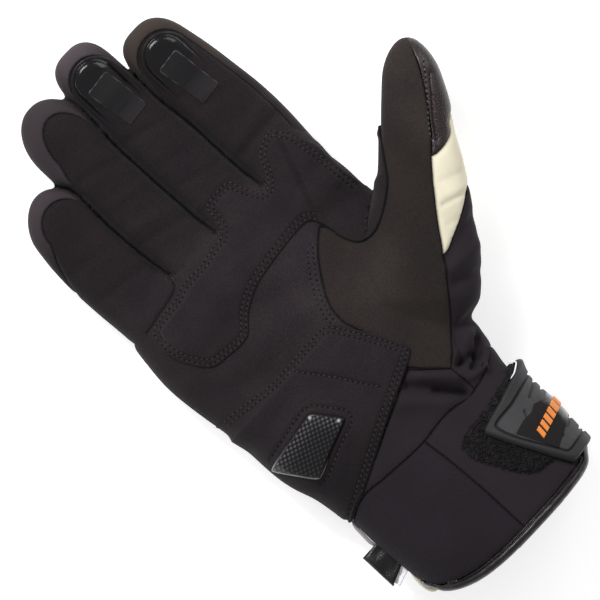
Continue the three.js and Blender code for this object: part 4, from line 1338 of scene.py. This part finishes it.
def loop_patch():
    outline = outline_through(LOOP_PATCH)
    bm = region(outline, PALM_Z - 2)
    raised(bm, -0.3 + 1.1 * rolled(edge_distance(bm), 0.8))
    piece(bm, "loop_patch_backing", "pile", ["loop_patch"], thickness=0.8, carries=True)
    chance = random.Random(4)
    (left, bottom), (right, top) = np.min(outline, axis=0), np.max(outline, axis=0)
    spots = np.array([[chance.uniform(left - 1, right), chance.uniform(bottom - 1, top + 1)]
                      for _ in range(LOOPS * 2)])
    spots = spots[inside(spots, outline) > -0.8][:LOOPS]
    frames = []
    for x, y in spots:
        hit = on_top(x, y)
        if hit is None or inside([(x, y)], STRAP_TAB)[0] > -0.4:
            continue
        turn = Matrix.Rotation(chance.uniform(0, math.tau), 3, "Z")
        turn = turn @ Matrix.Rotation(chance.uniform(0.6, 2.4), 3, "X")
        size = chance.uniform(0.3, 0.62)
        place = hit[0] + hit[1] * chance.uniform(-0.1, 0.5)
        frames.append((list(place), [list(row * size) for row in turn.transposed()]))
    piece(repeated(pile_loop(), frames), "loop_patch_pile", "pile", [], thickness=0)


def sewn_strap():
    """The strap's webbing round the thumb side and the back of the cuff."""
    bm = GLOVE.copy()
    far = [v for v in bm.verts if not (v.co.x >= 4 and -118 <= v.co.y <= -70 and v.co.z <= PALM_Z)]
    bmesh.ops.delete(bm, geom=far, context="VERTS")
    co = places(bm)
    bm = take(bm, np.minimum(inside(co, SEWN_STRAP), SEWN_STRAP_TOP - co[:, 2]), keep_rest=False)
    refine(bm, 3)
    d = edge_distance(bm)
    raised(bm, 0.3 + 2.3 * rolled(d, 1.0) - 0.35 * bell(d - 3, 0.7))
    piece(bm, "sewn_strap_webbing", "webbing", ["sewn_strap"], thickness=2.0)


# Edging round the mouth

# Height of the edging by its depth below the mouth: rolled foot, full band, stitched groove, thin lip
BINDING_PROFILE = [
    (0.0, -1.6), (0.3, -0.7), (0.7, -0.1), (1.2, 0.4), (1.8, 0.72), (2.4, 0.74), (2.9, 0.55), (3.3, 0.1),
    (3.55, -0.1), (3.75, 0.3), (3.95, 0.5), (4.15, 0.35), (4.4, -0.1),
]


def cuff_binding():
    bm = take(GLOVE.copy(), -inside(places(GLOVE), mouth(RIM_HEIGHT)), keep_rest=False)
    bmesh.ops.subdivide_edges(bm, edges=bm.edges, cuts=1, use_grid_fill=True)
    down = stepped(bm, mouth(0), BINDING_PROFILE)
    x = places(bm)[:, 0]
    ripple = 0.10 * np.sin(x * 0.45) + 0.06 * np.sin(x * 1.1 + 1)
    raised(bm, height_at(down, BINDING_PROFILE) + ripple * ramp(down, 1, 2) * ramp(down, 3.2, 2.2))
    noted(bm, "wall", 0.06 + 0.94 * rolled(down, 1.8))
    # Painted shade in the groove near the edging's edge
    noted(bm, "seam", bell(down - 3.5, 0.22))
    piece(bm, "cuff_binding_leather", "binding", ["cuff_binding"], thickness=3.3)


# Tag at the heel side of the cuff

TAG = {
    "left": -50.8, "right": -41.0, "top": -82.4, "bottom": -99.4, "slant": 0.42, "z": 27.0, "half": 1.5,
    "bend": 1.4, "sewn_in": 3,
}
TAG_LABEL = {"left": -49.0, "right": -41.2, "top": -93.0, "bottom": -101.2, "slant": 0.3}


def side_tag():
    """A leather strip folded over, with its two ends sewn into the seam."""
    sewn, bend, z, half = TAG["right"] + TAG["sewn_in"], TAG["left"] + TAG["bend"], TAG["z"], TAG["half"]
    angles = [math.radians(a) for a in np.linspace(-60, 60, 5)]
    rounded = [(bend - TAG["bend"] * math.cos(a), z + half * math.sin(a)) for a in angles]
    profile = [(sewn, z - half), (bend, z - half), *rounded, (bend, z + half), (sewn, z + half)]
    bm = bmesh.new()
    fold = [bm.verts.new((x, TAG["bottom"], height)) for x, height in profile]
    edges = [bm.edges.new(pair) for pair in zip(fold, fold[1:])]
    made = bmesh.ops.extrude_edge_only(bm, edges=edges)["geom"]
    verts = [part for part in made if isinstance(part, bmesh.types.BMVert)]
    bmesh.ops.translate(bm, verts=verts, vec=(0, TAG["top"] - TAG["bottom"], 0))
    bmesh.ops.subdivide_edges(bm, edges=bm.edges, cuts=9, use_grid_fill=True)
    bmesh.ops.recalc_face_normals(bm, faces=bm.faces)
    co = places(bm)
    x, y = co[:, 0], co[:, 1]
    wave = 0.32 * np.sin(y * 0.6 + x * 0.3) + 0.16 * np.sin(y * 1.1 - x * 0.4)
    co[:, 2] += wave * ramp(co[:, 2], z, z + half)
    slanted(co, TAG)
    move(bm, co)
    piece(bm, "side_tag_leather", "tag", ["side_tag"], thickness=0.8)


def slanted(co, strip):
    """Shortens a strip towards the glove, so that its lower end runs at a slant."""
    share = (strip["top"] - co[:, 1]) / (strip["top"] - strip["bottom"])
    co[:, 1] += share * strip["slant"] * (co[:, 0] - strip["left"])


def tag_label():
    bm = bmesh.new()
    bmesh.ops.create_grid(bm, x_segments=8, y_segments=12, size=0.5)
    co = places(bm) + (0.5, 0.5, 0)
    down = 1 - co[:, 1]
    co[:, 0] = TAG_LABEL["left"] + co[:, 0] * (TAG_LABEL["right"] - TAG_LABEL["left"])
    co[:, 1] = TAG_LABEL["bottom"] + co[:, 1] * (TAG_LABEL["top"] - TAG_LABEL["bottom"])
    co[:, 2] = TAG["z"] + 0.35 * np.sin(co[:, 0] * 1.6) + 1.2 * down ** 6
    slanted(co, TAG_LABEL)
    move(bm, co)
    piece(bm, "tag_label_tape", "label", ["tag_label"], thickness=0.5)


# Narrow rolls of cloth: two past the heel side of the cuff, and two under the strap end's upper corner
Roll = namedtuple("Roll", "radius look slot points")
ROLLS = {
    "cuff_back_cream": Roll(1.3, "cream", "cream_fabric", [
        (-40.6, -100.4, 27), (-41.4, -104, 27), (-41.6, -108, 27), (-40.8, -111.4, 27), (-39, -113.6, 27)]),
    "cuff_side_piping": Roll(0.8, "piping", "stretch_twill", [
        (-42.4, -68.8, 26), (-43.4, -71.6, 26), (-43.7, -76, 26), (-43.9, -80, 26), (-43.4, -83, 26)]),
    "strap_end_lining": Roll(0.32, "label", "white_label", [
        (48.1, -71, 32.2), (49.6, -72, 32.7), (50.6, -73.4, 33.6), (48.9, -74.7, 36.6), (46.7, -75.9, 38.6),
        (44, -76.4, 39.4)]),
    "strap_end_underside": Roll(1.6, "webbing", "softshell", [
        (44.2, -77.6, 37), (46.8, -74.9, 34.5), (48.2, -72.5, 31.5)]),
}


def cloth_roll(name, roll):
    """A thin round roll through its points."""
    path = [Vector(p) for p in smooth_line(roll.points, step=FINE_STEP)]
    bm = bmesh.new()
    rings = []
    for n, place in enumerate(path):
        ahead = path[min(n + 1, len(path) - 1)] - path[max(n - 1, 0)]
        turned = Matrix.Translation(place) @ ahead.to_track_quat("Z", "Y").to_matrix().to_4x4()
        share = math.sqrt(max(1 - (2 * n / (len(path) - 1) - 1) ** 8, 0.1))
        radius = roll.radius * share
        verts = bmesh.ops.create_circle(bm, segments=10, radius=radius, matrix=turned)["verts"]
        rings.append(list({e for v in verts for e in v.link_edges}))
    tube(bm, rings)
    bmesh.ops.recalc_face_normals(bm, faces=bm.faces)
    piece(bm, name, roll.look, [], thickness=0)


palm_patch()
heel_patch()
palm_slider()
for tip_name, tip_sizes in TIP_COVERS.items():
    tip_cover(tip_name, tip_sizes)
    tip_pad(tip_name, tip_sizes)
strap_end()
strap_window()
strap_bars()
loop_patch()
sewn_strap()
cuff_binding()
side_tag()
tag_label()
for roll_name, roll_sizes in ROLLS.items():
    cloth_roll(roll_name, roll_sizes)
sew("crotch_tacks", BAR_TACKS, pitch=1.1)
sew("palm_panel", CHANNELS["palm_panel"])
sew("thumb_leather", CHANNELS["thumb_leather"], look="leather_thread")


# Camera, lights and floor

VIEW_TURN = 47  # how far the glove is turned in the picture
VIEW_CENTRE = (9.0, 8.4, 20.0)
VIEW_WIDTH = 246.0
VIEW_DISTANCE = 4000.0
SENSOR = 36.0
LIT_PLACE = (0.01, 0.01, 0.02)  # metres, what the lights point at
FLOOR_Z = -0.0003  # metres, just below the glove


def make_camera():
    data = bpy.data.cameras.new("camera")
    data.sensor_width = SENSOR
    data.lens = SENSOR * VIEW_DISTANCE / VIEW_WIDTH
    data.clip_end = 20
    camera = shown("camera", data)
    camera.location = (Vector(VIEW_CENTRE) + Vector((0, 0, VIEW_DISTANCE))) * METRES
    camera.rotation_euler = (0, 0, -math.radians(VIEW_TURN))
    bpy.context.scene.camera = camera


def area_light(name, place, size, power, mirrored=True):
    data = bpy.data.lights.new(name, "AREA")
    data.shape = "RECTANGLE"
    data.size, data.size_y = size
    data.energy = power
    light = shown(name, data)
    light.location = place
    light.visible_glossy = mirrored
    light.rotation_euler = (Vector(LIT_PLACE) - Vector(place)).to_track_quat("-Z", "Y").to_euler()


def make_floor():
    bm = bmesh.new()
    bmesh.ops.create_grid(bm, x_segments=1, y_segments=1, size=3)
    mesh = mesh_of(bm, "floor")
    bm.free()
    floor = shown("floor", mesh)
    floor.location.z = FLOOR_Z
    look = Look("floor", (0.7, 0.7, 0.7), 0.9, Emission_Color=(1, 1, 1, 1), Emission_Strength=0.62)
    mesh.materials.append(look.material)


def light_scene():
    world = bpy.data.worlds.new("studio")
    world.use_nodes = True
    world.node_tree.nodes["Background"].inputs["Color"].default_value = (1, 1, 1, 1)
    world.node_tree.nodes["Background"].inputs["Strength"].default_value = 0.36
    bpy.context.scene.world = world
    bpy.context.scene.view_settings.view_transform = "Standard"
    area_light("key", (0.05, 0.8, 0.9), (0.6, 0.4), 7.6)
    area_light("spark", (0.05, 0.8, 0.9), (0.07, 0.05), 3.6)
    area_light("fill", (-0.7, -0.3, 0.9), (0.8, 0.8), 2.0, mirrored=False)
    area_light("side", (0.8, 0.15, 0.6), (0.5, 0.5), 2.5)


make_camera()
light_scene()
make_floor()
